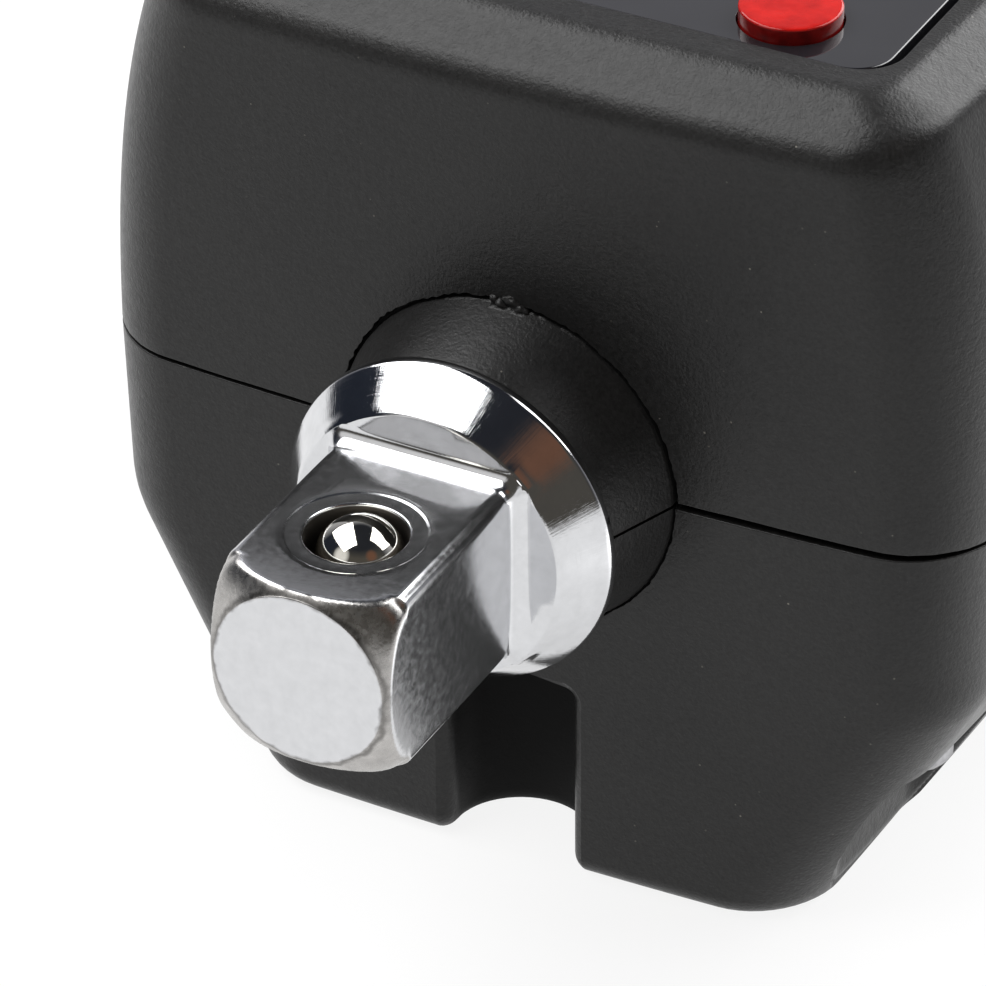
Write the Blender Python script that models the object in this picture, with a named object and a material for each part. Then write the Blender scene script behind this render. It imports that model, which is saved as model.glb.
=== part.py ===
"""Digital torque adapter: a two-shell instrument body carried on a through torque shaft.

Metres, +Z up. The drive axis is Y at X = 0, Z = 0. The male square points to -Y and
the origin is the centre of its end face. The display faces +Z and the battery door -Z.
Each object is one separate piece. Pieces that touch keep the running gap GAP.
"""
import math

import bmesh
import bpy
from mathutils import Vector

MM = 0.001

# Driving dimensions.

GAP = 0.3 * MM                  # clearance between pieces that seat on each other

# Male square, flange and tip.
SQUARE = 9.53 * MM              # 3/8 in drive across flats
SQUARE_EDGE_R = 0.7 * MM
SQUARE_LENGTH = 12.7 * MM       # shoulder to end face
SQUARE_FILLET = 0.6 * MM        # where the square runs into the flange
TIP_FACE_R = 4.5 * MM
TIP_CHAMFER = 1.9 * MM          # length of the turned chamfer
FLANGE_R = 8.7 * MM
FLANGE_SHOULDER_R = 7.1 * MM
FLANGE_CONE = 2.4 * MM
FLANGE_RIM = 0.5 * MM
NOSE_REACH = 5.0 * MM           # how far the nose boss stands out of the front face

# Detent ball in the square's upper flat.
BALL_R = 2.25 * MM
BALL_BORE_R = 2.5 * MM
BALL_BORE_DEPTH = 7.3 * MM
BALL_SETBACK = 5.9 * MM         # ball centre from the square's end face
BALL_LIP_R = 2.0 * MM
BALL_LIP_DEPTH = 0.3 * MM
BALL_RING_R = 3.4 * MM
SPRING_WIRE_R = 0.22 * MM
SPRING_COIL_R = 1.7 * MM
SPRING_TURNS = 4

# Shaft inside the body.
JOURNAL_R = 5.8 * MM
COLLAR_FLATS = 15.0 * MM        # hexagon collars held by both shells
COLLAR_LENGTH = 5.0 * MM
SENSE_R = 5.0 * MM
SENSE_FLAT = 4.2 * MM           # axis to the flat that carries a gauge
SENSE_MARGIN = 5.35 * MM        # collar to the end of a gauge flat
REAR_COLLAR_MARGIN = 23.0 * MM  # rear collar's front to the rear face
SOCKET_BODY_R = 9.0 * MM
SOCKET_SQUARE = 9.6 * MM
SOCKET_DEPTH = 12.5 * MM
SOCKET_PROUD = 1.7 * MM         # socket end beyond the rear face
SOCKET_MOUTH = 0.8 * MM
SEAL_SECTION_R = 0.75 * MM

# Moulded body.
BODY_DEPTH = 60.0 * MM
BODY_HALF_WIDTH = 25.0 * MM     # widest, at the parting plane and mid length
TOP_Z = 23.3 * MM
BOTTOM_Z = -23.7 * MM
BODY_CORNER_R = 4.6 * MM
FACE_CROWN = 0.95 * MM          # sag of the front and rear faces at their sides
SIDE_CROWN = 1.4 * MM           # sag of the sides at the front and rear
BARREL_DROP = 3.0 * MM          # how far the sides lean in at the top band
BARREL_POWER = 2.6
BAND_Z = 21.0 * MM              # lower edge of the sloping band round the top
BAND_END = 3.0 * MM             # band width seen from above, front and rear
BAND_SIDE = 3.3 * MM            # band width seen from above, left and right
BAND_SOFT_R = 1.3 * MM
KNEE_Z = -9.6 * MM              # where the lower side turns in
KNEE_DROP = 0.4 * MM
KNEE_R = 5.0 * MM
FOOT_INSET = 8.7 * MM           # from the widest place to the flat underside
BOTTOM_EDGE_R = 1.3 * MM
WALL = 2.2 * MM
CEILING_Z = 19.7 * MM
FLOOR_THICK = 1.7 * MM
TONGUE_INSET = 1.25 * MM        # outer form to the tongue that closes the parting gap
TONGUE_THICK = 0.8 * MM
TONGUE_REACH = 1.2 * MM
CORNER_STEPS = 5
FACE_STEPS = 4

# Nose boss round the shaft, half on each shell.
NOSE_BASE_R = 9.0 * MM
NOSE_WAIST_R = 7.75 * MM
NOSE_END_R = 7.2 * MM
NOSE_FLARE = 1.1 * MM

# Notch in the lower front face and screw pockets in the lower sides.
NOTCH_HALF_WIDTH = 3.35 * MM
NOTCH_DEPTH = 4.7 * MM
NOTCH_TOP_Z = -12.8 * MM
NOTCH_DOME = 0.4 * MM
NOTCH_FOOT_R = 1.1 * MM         # rounding between the notch and the underside
POCKET_AT = 8.6 * MM            # pocket centre from the front and rear faces
POCKET_STEP = 2.1 * MM          # edge of the underside to the pocket's axis
POCKET_HALF_WIDTH = 2.2 * MM
POCKET_HALF_LENGTH = 6.0 * MM
POCKET_TOP_Z = -14.9 * MM
POCKET_WALL = 1.3 * MM

# Housing screws.
SCREW_R = 1.1 * MM
SCREW_HEAD_R = 1.85 * MM
SCREW_HEAD_H = 1.6 * MM
SCREW_TIP_Z = 8.0 * MM
SCREW_BOSS_R = 2.3 * MM
BULKHEAD = 3.0 * MM
BULKHEAD_TOP_Z = 11.0 * MM

# Display panel, buttons and electronics.
PANEL_MARGIN = 8.0 * MM         # widest place to the panel's side edge
PANEL_INSET = 5.5 * MM          # front face to the panel's front edge
PANEL_CORNER_R = 2.0 * MM
PANEL_THICK = 1.5 * MM
PANEL_SUNK = 0.25 * MM
PANEL_FIT = 0.2 * MM
BUTTON_R = 2.5 * MM
BUTTON_EDGE = 6.2 * MM          # panel's side edge to the nearest button's axis
BUTTON_AT = 8.6 * MM            # outer buttons from the front face
BUTTON_STAGGER = 3.2 * MM       # how much further back the inner two stand
BUTTON_PROUD = 0.85 * MM
BUTTON_DOME = 0.25 * MM
BUTTON_FLANGE_R = 3.05 * MM
BUTTON_FLANGE_H = 0.6 * MM
BUTTON_STEM_R = 1.2 * MM
BUTTON_FIT = 0.25 * MM
BUTTON_TRAVEL = 0.5 * MM
BUTTON_NAMES = ("unit_button", "down_button", "up_button", "power_button")
SWITCH_SIZE = 5.8 * MM
SWITCH_H = 3.3 * MM
PLUNGER_R = 1.5 * MM
PLUNGER_PROUD = 1.0 * MM
BOARD_TOP_Z = 13.4 * MM
BOARD_THICK = 1.6 * MM
BOARD_MARGIN = 7.8 * MM         # widest place to the board's side edge
BOARD_START = 4.4 * MM
BOARD_REAR_MARGIN = 10.0 * MM
LCD_START = 15.6 * MM
LCD_REAR_MARGIN = 20.4 * MM     # LCD frame to the rear face
LCD_MARGIN = 4.0 * MM           # panel's side edge to the LCD frame
LCD_FRAME_WALL = 1.0 * MM
LCD_WINDOW_MARGIN = 2.6 * MM
LCD_GLASS_THICK = 2.2 * MM
LED_R = 1.2 * MM
LED_AT = 7.2 * MM
POST_INSET = 2.0 * MM           # board's side edge to the post's axis
POST_R = 1.8 * MM
POST_FRONT_AT = 14.6 * MM
POST_REAR_INSET = 5.0 * MM      # board's rear edge to the post's axis
BOARD_SCREW_R = 0.75 * MM
BOARD_SCREW_HEAD_R = 1.5 * MM
BOARD_SCREW_HEAD_H = 1.0 * MM
CHIP_SIZE = 7.0 * MM
CHIP_H = 1.2 * MM
CHIP_INSET = 5.7 * MM
CHIP_AT = 27.0 * MM
BUZZER_R = 5.5 * MM
BUZZER_H = 4.6 * MM
BUZZER_INSET = 6.2 * MM
BUZZER_AT = 22.0 * MM
GAUGE_END_GAP = 4.0 * MM        # gauge to the ends of its flat
GAUGE_HALF_WIDTH = 2.4 * MM
GAUGE_THICK = 0.25 * MM
FLEX_THICK = 0.3 * MM
FLEX_HALF_WIDTH = 2.0 * MM
FLEX_FOOT = 2.5 * MM

# Battery bay, opened from below.
CELL_SIDE_GAP = 1.0 * MM        # between the two cells
CELL_MARGIN = 16.5 * MM         # body length that the cells leave free
CELL_NUB_R = 1.9 * MM
CELL_NUB = 1.0 * MM
CELL_WALL_GAP = 1.9 * MM        # bay wall to the cell
BAY_MARGIN = 3.4 * MM           # edge of the underside to the bay's side
BAY_WALL = 1.2 * MM
BAY_ROOF = 1.0 * MM
BAY_ROOF_TOP_Z = -9.9 * MM
CONTACT_THICK = 0.4 * MM
CONTACT_HALF_WIDTH = 3.6 * MM
CONTACT_SPRING_R = 2.6 * MM
CONTACT_SPRING_WIRE_R = 0.3 * MM
CONTACT_SPRING_TURNS = 3
CONTACT_SPRING_LENGTH = 2.8 * MM
DOOR_MARGIN = 1.7 * MM          # bay's side to the door's side
DOOR_THICK = 1.3 * MM
DOOR_TRAVEL = 6.0 * MM
DOOR_TAB_LENGTH = 5.0 * MM
DOOR_TAB_THICK = 0.8 * MM
DOOR_TAB_REACH = 1.4 * MM
DOOR_TAB_FRONT_AT = 13.0 * MM
DOOR_TAB_REAR_MARGIN = 17.0 * MM
DOOR_GRIP_AT = 14.0 * MM
DOOR_GRIP_PITCH = 1.8 * MM
DOOR_GRIP_COUNT = 4
DOOR_GRIP_DEPTH = 0.45 * MM
DOOR_GRIP_HALF_WIDTH = 5.0 * MM

# Derived places.

KNEE_HALF_WIDTH = BODY_HALF_WIDTH - KNEE_DROP
FOOT_HALF_WIDTH = BODY_HALF_WIDTH - FOOT_INSET
FLOOR_Z = BOTTOM_Z + FLOOR_THICK
POCKET_X = FOOT_HALF_WIDTH + POCKET_STEP
PANEL_HALF_WIDTH = BODY_HALF_WIDTH - PANEL_MARGIN
BUTTON_PITCH = 2 * (PANEL_HALF_WIDTH - BUTTON_EDGE) / (len(BUTTON_NAMES) - 1)
BOARD_HALF_WIDTH = BODY_HALF_WIDTH - BOARD_MARGIN
BOARD_END = BODY_DEPTH - BOARD_REAR_MARGIN
LCD_HALF_WIDTH = PANEL_HALF_WIDTH - LCD_MARGIN
POST_X = BOARD_HALF_WIDTH - POST_INSET
POST_AT = (POST_FRONT_AT, BOARD_END - POST_REAR_INSET)
CHIP_X = BOARD_HALF_WIDTH - CHIP_INSET
BUZZER_X = BUZZER_INSET - BOARD_HALF_WIDTH
BAY_HALF_WIDTH = FOOT_HALF_WIDTH - BAY_MARGIN
CELL_R = (BAY_HALF_WIDTH - CELL_WALL_GAP - CELL_SIDE_GAP / 2) / 2
CELL_PITCH = 2 * CELL_R + CELL_SIDE_GAP
CELL_LENGTH = BODY_DEPTH - CELL_MARGIN
DOOR_HALF_WIDTH = BAY_HALF_WIDTH - DOOR_MARGIN
DOOR_TAB_REAR_AT = BODY_DEPTH - DOOR_TAB_REAR_MARGIN
DOOR_TABS_AT = (DOOR_TAB_FRONT_AT, (DOOR_TAB_FRONT_AT + DOOR_TAB_REAR_AT) / 2, DOOR_TAB_REAR_AT)

SHOULDER_Y = SQUARE_LENGTH
FLANGE_FRONT_Y = SHOULDER_Y + FLANGE_CONE
FLANGE_BACK_Y = FLANGE_FRONT_Y + FLANGE_RIM
NOSE_END_Y = FLANGE_BACK_Y + GAP
FACE_Y = NOSE_END_Y + NOSE_REACH
REAR_Y = FACE_Y + BODY_DEPTH
MID_Y = (FACE_Y + REAR_Y) / 2
SHAFT_END_Y = REAR_Y + SOCKET_PROUD
FRONT_INNER_Y = FACE_Y + WALL
REAR_INNER_Y = REAR_Y - WALL
BORE_R = JOURNAL_R + GAP
SEAL_LENGTH = 2 * SEAL_SECTION_R
FRONT_COLLAR_Y = FRONT_INNER_Y + SEAL_LENGTH + 2 * GAP
REAR_COLLAR_Y = REAR_Y - REAR_COLLAR_MARGIN
SENSE_MID_Y = (FRONT_COLLAR_Y + COLLAR_LENGTH + REAR_COLLAR_Y) / 2
SENSE_FLAT_LENGTH = REAR_COLLAR_Y - FRONT_COLLAR_Y - COLLAR_LENGTH - 2 * SENSE_MARGIN
GAUGE_LENGTH = SENSE_FLAT_LENGTH - 2 * GAUGE_END_GAP
HALF_GAP = GAP / 2
SQUARE_TOP_Z = SQUARE / 2

PANEL_TOP_Z = TOP_Z - PANEL_SUNK
PANEL_BOTTOM_Z = PANEL_TOP_Z - PANEL_THICK
RECESS_Z = PANEL_BOTTOM_Z - GAP
PANEL_FRONT_Y = FACE_Y + PANEL_INSET
PANEL_REAR_Y = REAR_Y - PANEL_INSET
BUTTON_YS = tuple(FACE_Y + BUTTON_AT + row * BUTTON_STAGGER for row in (0, 1, 1, 0))
BUTTON_TOP_Z = PANEL_TOP_Z + BUTTON_PROUD
BUTTON_HOLE_R = BUTTON_R + BUTTON_FIT
BUTTON_FLANGE_TOP_Z = CEILING_Z - GAP
BUTTON_XS = tuple((i - 1.5) * BUTTON_PITCH for i in range(len(BUTTON_NAMES)))
BOARD_BOTTOM_Z = BOARD_TOP_Z - BOARD_THICK
BOARD_FRONT_Y = FACE_Y + BOARD_START
BOARD_REAR_Y = FACE_Y + BOARD_END
SWITCH_BOTTOM_Z = BOARD_TOP_Z + GAP
SWITCH_TOP_Z = SWITCH_BOTTOM_Z + SWITCH_H
PLUNGER_TOP_Z = SWITCH_TOP_Z + PLUNGER_PROUD
PLUNGER_BOTTOM_Z = SWITCH_TOP_Z - GAP
PLUNGER_WELL_Z = PLUNGER_BOTTOM_Z - BUTTON_TRAVEL - GAP
STEM_BOTTOM_Z = PLUNGER_TOP_Z + GAP
LCD_FRONT_Y = FACE_Y + LCD_START
LCD_REAR_Y = REAR_Y - LCD_REAR_MARGIN
LCD_TOP_Z = CEILING_Z - GAP
LCD_BOTTOM_Z = BOARD_TOP_Z + GAP
GLASS_BOTTOM_Z = LCD_TOP_Z - LCD_GLASS_THICK

NOTCH_CENTRE_Y = FACE_Y + NOTCH_DEPTH - NOTCH_HALF_WIDTH
BAY_WALL_Y = FACE_Y + NOTCH_DEPTH + BAY_WALL / 2
BAY_FRONT_Y = BAY_WALL_Y + BAY_WALL
BAY_ROOF_BOTTOM_Z = BAY_ROOF_TOP_Z - BAY_ROOF
CELL_Z = BAY_ROOF_BOTTOM_Z - GAP - CELL_R
CONTACT_FRONT_Y = BAY_FRONT_Y + GAP
SPRING_FRONT_Y = CONTACT_FRONT_Y + CONTACT_THICK + GAP
CELL_FRONT_Y = SPRING_FRONT_Y + CONTACT_SPRING_LENGTH + GAP
CELL_REAR_Y = CELL_FRONT_Y + CELL_LENGTH
CONTACT_REAR_Y = CELL_REAR_Y + CELL_NUB + GAP
DOOR_FRONT_Y = BAY_FRONT_Y + GAP
DOOR_OPENING_HALF = DOOR_HALF_WIDTH + GAP
DOOR_TOP_Z = BOTTOM_Z + DOOR_THICK
TAB_BOTTOM_Z = FLOOR_Z + GAP
TAB_TOP_Z = TAB_BOTTOM_Z + DOOR_TAB_THICK
POCKET_YS = (FACE_Y + POCKET_AT, REAR_Y - POCKET_AT)
FRONT_BULKHEAD_Y = FRONT_COLLAR_Y + (COLLAR_LENGTH - BULKHEAD) / 2
REAR_BULKHEAD_Y = REAR_COLLAR_Y + (COLLAR_LENGTH - BULKHEAD) / 2

# Scene and materials.

for old in list(bpy.data.objects):
    bpy.data.objects.remove(old, do_unlink=True)


def material(name, colour, roughness, metallic=0.0, alpha=1.0):
    """A plain Principled material."""
    made = bpy.data.materials.new(name)
    made.use_nodes = True
    shader = made.node_tree.nodes["Principled BSDF"]
    shader.inputs["Base Color"].default_value = (*colour, 1.0)
    shader.inputs["Roughness"].default_value = roughness
    shader.inputs["Metallic"].default_value = metallic
    shader.inputs["Alpha"].default_value = alpha
    return made


SHELL_BLACK = material("shell_black", (0.022, 0.021, 0.022), 0.55)
PANEL_SMOKE = material("panel_smoke", (0.03, 0.03, 0.034), 0.06)
BUTTON_RED = material("button_red", (0.55, 0.01, 0.008), 0.12)
CHROME = material("chrome_steel", (0.78, 0.78, 0.79), 0.08, 1.0)
BALL_STEEL = material("ball_steel", (0.7, 0.7, 0.7), 0.05, 1.0)
SPRING_STEEL = material("spring_steel", (0.5, 0.5, 0.52), 0.25, 1.0)
SCREW_STEEL = material("screw_steel", (0.35, 0.35, 0.36), 0.35, 1.0)
NICKEL = material("nickel_plate", (0.62, 0.6, 0.56), 0.25, 1.0)
SEAL_RUBBER = material("seal_rubber", (0.015, 0.015, 0.015), 0.7)
BOARD_GREEN = material("board_green", (0.01, 0.1, 0.04), 0.4)
CHIP_BLACK = material("chip_black", (0.02, 0.02, 0.02), 0.5)
FRAME_GREY = material("frame_grey", (0.12, 0.12, 0.12), 0.5)
LCD_GREY = material("lcd_grey", (0.33, 0.38, 0.3), 0.1)
LIGHT_WHITE = material("light_guide", (0.8, 0.82, 0.78), 0.3)
FOIL_AMBER = material("foil_amber", (0.45, 0.22, 0.04), 0.35)
CELL_WRAP = material("cell_wrap", (0.05, 0.05, 0.055), 0.3)
SWITCH_BLACK = material("switch_black", (0.03, 0.03, 0.03), 0.45)

# Modelling helpers.


def add_object(name, bm, mat=None, origin=(0.0, 0.0, 0.0)):
    """Link a bmesh as an object whose origin is at the given point."""
    bmesh.ops.recalc_face_normals(bm, faces=bm.faces)
    bmesh.ops.translate(bm, verts=bm.verts, vec=-Vector(origin))
    mesh = bpy.data.meshes.new(name)
    bm.to_mesh(mesh)
    bm.free()
    obj = bpy.data.objects.new(name, mesh)
    obj.location = origin
    bpy.context.scene.collection.objects.link(obj)
    if mat:
        mesh.materials.append(mat)
        mesh.shade_smooth()
        mesh.set_sharp_from_angle(angle=math.radians(32))
    else:
        obj.hide_render = True
        obj.display_type = "WIRE"
    return obj


def boolean(obj, tool, operation="DIFFERENCE"):
    """Add an exact Boolean modifier."""
    modifier = obj.modifiers.new(f"{operation.lower()} {tool.name}", "BOOLEAN")
    modifier.operation = operation
    modifier.solver = "EXACT"
    modifier.object = tool


def skin_rings(bm, rings, closed=False):
    """Bridge equal rings of points and cap the ends, or close the loop of rings."""
    loops = [[bm.verts.new(p) for p in ring] for ring in rings]
    pairs = list(zip(loops, loops[1:]))
    if closed:
        pairs.append((loops[-1], loops[0]))
    for low, high in pairs:
        for i in range(len(low)):
            j = (i + 1) % len(low)
            bm.faces.new((low[i], low[j], high[j], high[i]))
    if not closed:
        bm.faces.new(reversed(loops[0]))
        bm.faces.new(loops[-1])


def loft(name, rings, mat=None, origin=(0.0, 0.0, 0.0)):
    bm = bmesh.new()
    skin_rings(bm, rings)
    return add_object(name, bm, mat, origin)


def box(name, x, y, z, mat=None, origin=(0.0, 0.0, 0.0)):
    """A box from (low, high) pairs."""
    ring = [(x[0], y[0]), (x[1], y[0]), (x[1], y[1]), (x[0], y[1])]
    return prism(name, ring, z, mat, origin)


def prism(name, outline, z, mat=None, origin=(0.0, 0.0, 0.0)):
    """An XY outline extruded from z[0] to z[1]."""
    rings = [[(px, py, level) for px, py in outline] for level in z]
    return loft(name, rings, mat, origin)


def prism_along_y(name, outline, y, mat=None):
    """An XZ outline extruded from y[0] to y[1]."""
    rings = [[(px, level, pz) for px, pz in outline] for level in y]
    return loft(name, rings, mat)


def turned(name, profile, axis, centre, steps, mat=None, origin=(0.0, 0.0, 0.0), ring=False):
    """Turn (radius, height) points about an axis along Y or Z through centre.

    A solid profile starts and ends on the axis, and a ring's profile is a closed loop.
    """
    bm = bmesh.new()
    rows = []
    for radius, height in profile:
        row = []
        for k in range(1 if radius == 0.0 else steps):
            angle = 2 * math.pi * (k + 0.5) / steps
            u, v = radius * math.cos(angle), radius * math.sin(angle)
            point = (u, height, v) if axis == "Y" else (u, v, height)
            row.append(bm.verts.new(Vector(point) + Vector(centre)))
        rows.append(row)
    pairs = list(zip(rows, rows[1:]))
    if ring:
        pairs.append((rows[-1], rows[0]))
    for low, high in pairs:
        for i in range(steps):
            j = (i + 1) % steps
            corners = [low[i % len(low)], low[j % len(low)], high[j % len(high)], high[i % len(high)]]
            corners = list(dict.fromkeys(corners))
            if len(corners) > 2:
                bm.faces.new(corners)
    return add_object(name, bm, mat, origin)


def arc_points(centre, radius, start, end, steps):
    """Points on an arc, angles in degrees, both ends included."""
    out = []
    for k in range(steps + 1):
        angle = math.radians(start + (end - start) * k / steps)
        out.append((centre[0] + radius * math.cos(angle), centre[1] + radius * math.sin(angle)))
    return out


def rounded_rectangle(x, y, radius, steps=4):
    """An XY outline with round corners, counterclockwise."""
    points = []
    corners = ((x[1], y[0], -90), (x[1], y[1], 0), (x[0], y[1], 90), (x[0], y[0], 180))
    for cx, cy, start in corners:
        inner_x = cx - radius if cx == x[1] else cx + radius
        inner_y = cy - radius if cy == y[1] else cy + radius
        points += arc_points((inner_x, inner_y), radius, start, start + 90, steps)
    return points


def round_corners(points, radii, steps):
    """Replace each inner corner of an open path with an arc tangent to both sides."""
    path = [Vector(points[0])]
    for before, corner, after, radius in zip(points, points[1:], points[2:], radii):
        corner = Vector(corner)
        a = (Vector(before) - corner).normalized()
        b = (Vector(after) - corner).normalized()
        half = a.angle(b) / 2
        reach = radius / math.tan(half)
        centre = corner + (a + b).normalized() * (radius / math.sin(half))
        start = corner + a * reach - centre
        end = corner + b * reach - centre
        for k in range(steps + 1):
            mix = start.lerp(end, k / steps)
            path.append(centre + mix.normalized() * radius)
    path.append(Vector(points[-1]))
    return path


def at_height(path, z):
    """Read the first coordinate of a (value, z) path at a height."""
    rising = path[-1].y > path[0].y
    for low, high in zip(path, path[1:]):
        inside = low.y <= z <= high.y if rising else high.y <= z <= low.y
        if inside and abs(high.y - low.y) > 1e-9:
            return low.x + (high.x - low.x) * (z - low.y) / (high.y - low.y)
    return path[-1].x if (z >= path[-1].y) == rising else path[0].x


# Outer form of the body.

BARREL_STEPS = 5


def side_path(upper):
    """(half width, z) from the parting plane to the top or the bottom."""
    if upper:
        barrel = []
        for k in range(BARREL_STEPS + 1):
            rise = k / BARREL_STEPS
            barrel.append((BODY_HALF_WIDTH - BARREL_DROP * rise ** BARREL_POWER, BAND_Z * rise))
        inner = barrel[-1][0] - BAND_SIDE
        corners = barrel[-2:] + [(inner, TOP_Z), (inner - BAND_SIDE, TOP_Z)]
        soft = round_corners(corners, (BAND_SOFT_R, BAND_SOFT_R), 3)
        return [Vector(p) for p in barrel[:-2]] + soft[:-1]
    corners = [(BODY_HALF_WIDTH, 0.0), (KNEE_HALF_WIDTH, KNEE_Z)]
    corners += [(FOOT_HALF_WIDTH, BOTTOM_Z), (FOOT_HALF_WIDTH / 2, BOTTOM_Z)]
    return round_corners(corners, (KNEE_R, BOTTOM_EDGE_R), 4)[:-1]


def end_path(upper):
    """(inset of the front and rear faces, z) from the parting plane outwards."""
    if upper:
        corners = [(0.0, 0.0), (0.0, BAND_Z), (BAND_END, TOP_Z), (2 * BAND_END, TOP_Z)]
        return round_corners(corners, (BAND_SOFT_R, BAND_SOFT_R), 3)[:-1]
    corners = [(0.0, 0.0), (0.0, BOTTOM_Z), (BODY_DEPTH / 4, BOTTOM_Z)]
    return round_corners(corners, (BOTTOM_EDGE_R,), 4)[:-1]


def side_crown(y):
    """Share of the full width that the body keeps at a place along it."""
    return 1 - SIDE_CROWN / BODY_HALF_WIDTH * ((y - MID_Y) / (BODY_DEPTH / 2)) ** 2


def body_ring(half_width, inset, corner, z):
    """One level of the body: a rounded rectangle with all four sides crowned."""
    y_low, y_high = FACE_Y + inset, REAR_Y - inset
    points = []
    corners = ((1, -1, -90), (1, 1, 0), (-1, 1, 90), (-1, -1, 180))
    for sx, sy, start in corners:
        cx = sx * (half_width - corner)
        cy = y_low + corner if sy < 0 else y_high - corner
        arc = arc_points((cx, cy), corner, start, start + 90, CORNER_STEPS)
        points += arc
        end_x, end_y = arc[-1]
        far_y = y_low + y_high - end_y
        for k in range(1, FACE_STEPS):
            if sx == sy:
                points.append((end_x * (1 - 2 * k / FACE_STEPS), end_y))
            else:
                points.append((end_x, end_y + (far_y - end_y) * k / FACE_STEPS))
    ring = []
    for px, py in points:
        sag = FACE_CROWN * (px / BODY_HALF_WIDTH) ** 2
        ring.append((px * side_crown(py), MID_Y + (py - MID_Y) * (1 - sag / (BODY_DEPTH / 2)), z))
    return ring


def body_levels(upper):
    """Heights of the body's rings, finer where the form turns."""
    heights = sorted({round(p.y, 6) for p in side_path(upper) + end_path(upper)}, key=abs)
    kept = [heights[0]]
    for z in heights[1:]:
        if abs(z - kept[-1]) > 0.15 * MM:
            kept.append(z)
    kept[-1] = TOP_Z if upper else BOTTOM_Z
    return kept


def body_half(name, upper, start_z, mat=None):
    """The outer form above or below the parting plane, as a solid."""
    sides, ends = side_path(upper), end_path(upper)
    rings = []
    for z in [start_z] + [level for level in body_levels(upper) if abs(level) > abs(start_z)]:
        inset = at_height(ends, z)
        corner = max(BODY_CORNER_R - 0.5 * inset, 0.5 * BODY_CORNER_R)
        rings.append(body_ring(at_height(sides, z), inset, corner, z))
    return loft(name, rings, mat)


def body_cavity(name, upper, end_z, inset=WALL):
    """The hollow inside one shell, a wall's thickness or less in from the outer form."""
    sides = side_path(upper)
    reach = abs(end_z)
    sign = 1 if upper else -1
    rings = [body_ring(BODY_HALF_WIDTH - inset, inset, BODY_CORNER_R - inset, -sign * 2 * MM)]
    levels = [0.0] + [z for z in body_levels(upper) if 0 < abs(z) < reach - 0.2 * MM] + [end_z]
    for z in levels:
        rings.append(body_ring(at_height(sides, z) - inset, inset, BODY_CORNER_R - inset, z))
    return loft(name, rings)


def tongue_form(name, grow, z):
    """Upright band just inside the parting line, grown by a clearance."""
    rings = []
    for inset in (TONGUE_INSET - grow, TONGUE_INSET + TONGUE_THICK + grow):
        for level in z if inset < TONGUE_INSET + TONGUE_THICK / 2 else reversed(z):
            rings.append(body_ring(BODY_HALF_WIDTH - inset, inset, BODY_CORNER_R - inset, level))
    bm = bmesh.new()
    skin_rings(bm, rings, closed=True)
    return add_object(name, bm)


def slot_outline(centre, half_width, half_length, steps=8):
    """Plan of a slot along Y with round ends."""
    reach = half_length - half_width
    front = arc_points((centre[0], centre[1] - reach), half_width, 180, 360, steps)
    return front + arc_points((centre[0], centre[1] + reach), half_width, 0, 180, steps)


def hexagon(across_flats):
    """XZ hexagon with flats above and below the axis."""
    radius = across_flats / math.sqrt(3)
    return [(radius * math.cos(math.radians(60 * k)), radius * math.sin(math.radians(60 * k)))
            for k in range(6)]


# Torque shaft.

def square_section(half, edge, y):
    ring = []
    for sx, sz, start in ((1, 1, 0), (-1, 1, 90), (-1, -1, 180), (1, -1, 270)):
        centre = (sx * (half - edge), sz * (half - edge))
        ring += [(px, y, pz) for px, pz in arc_points(centre, edge, start, start + 90, 3)]
    return ring


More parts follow.
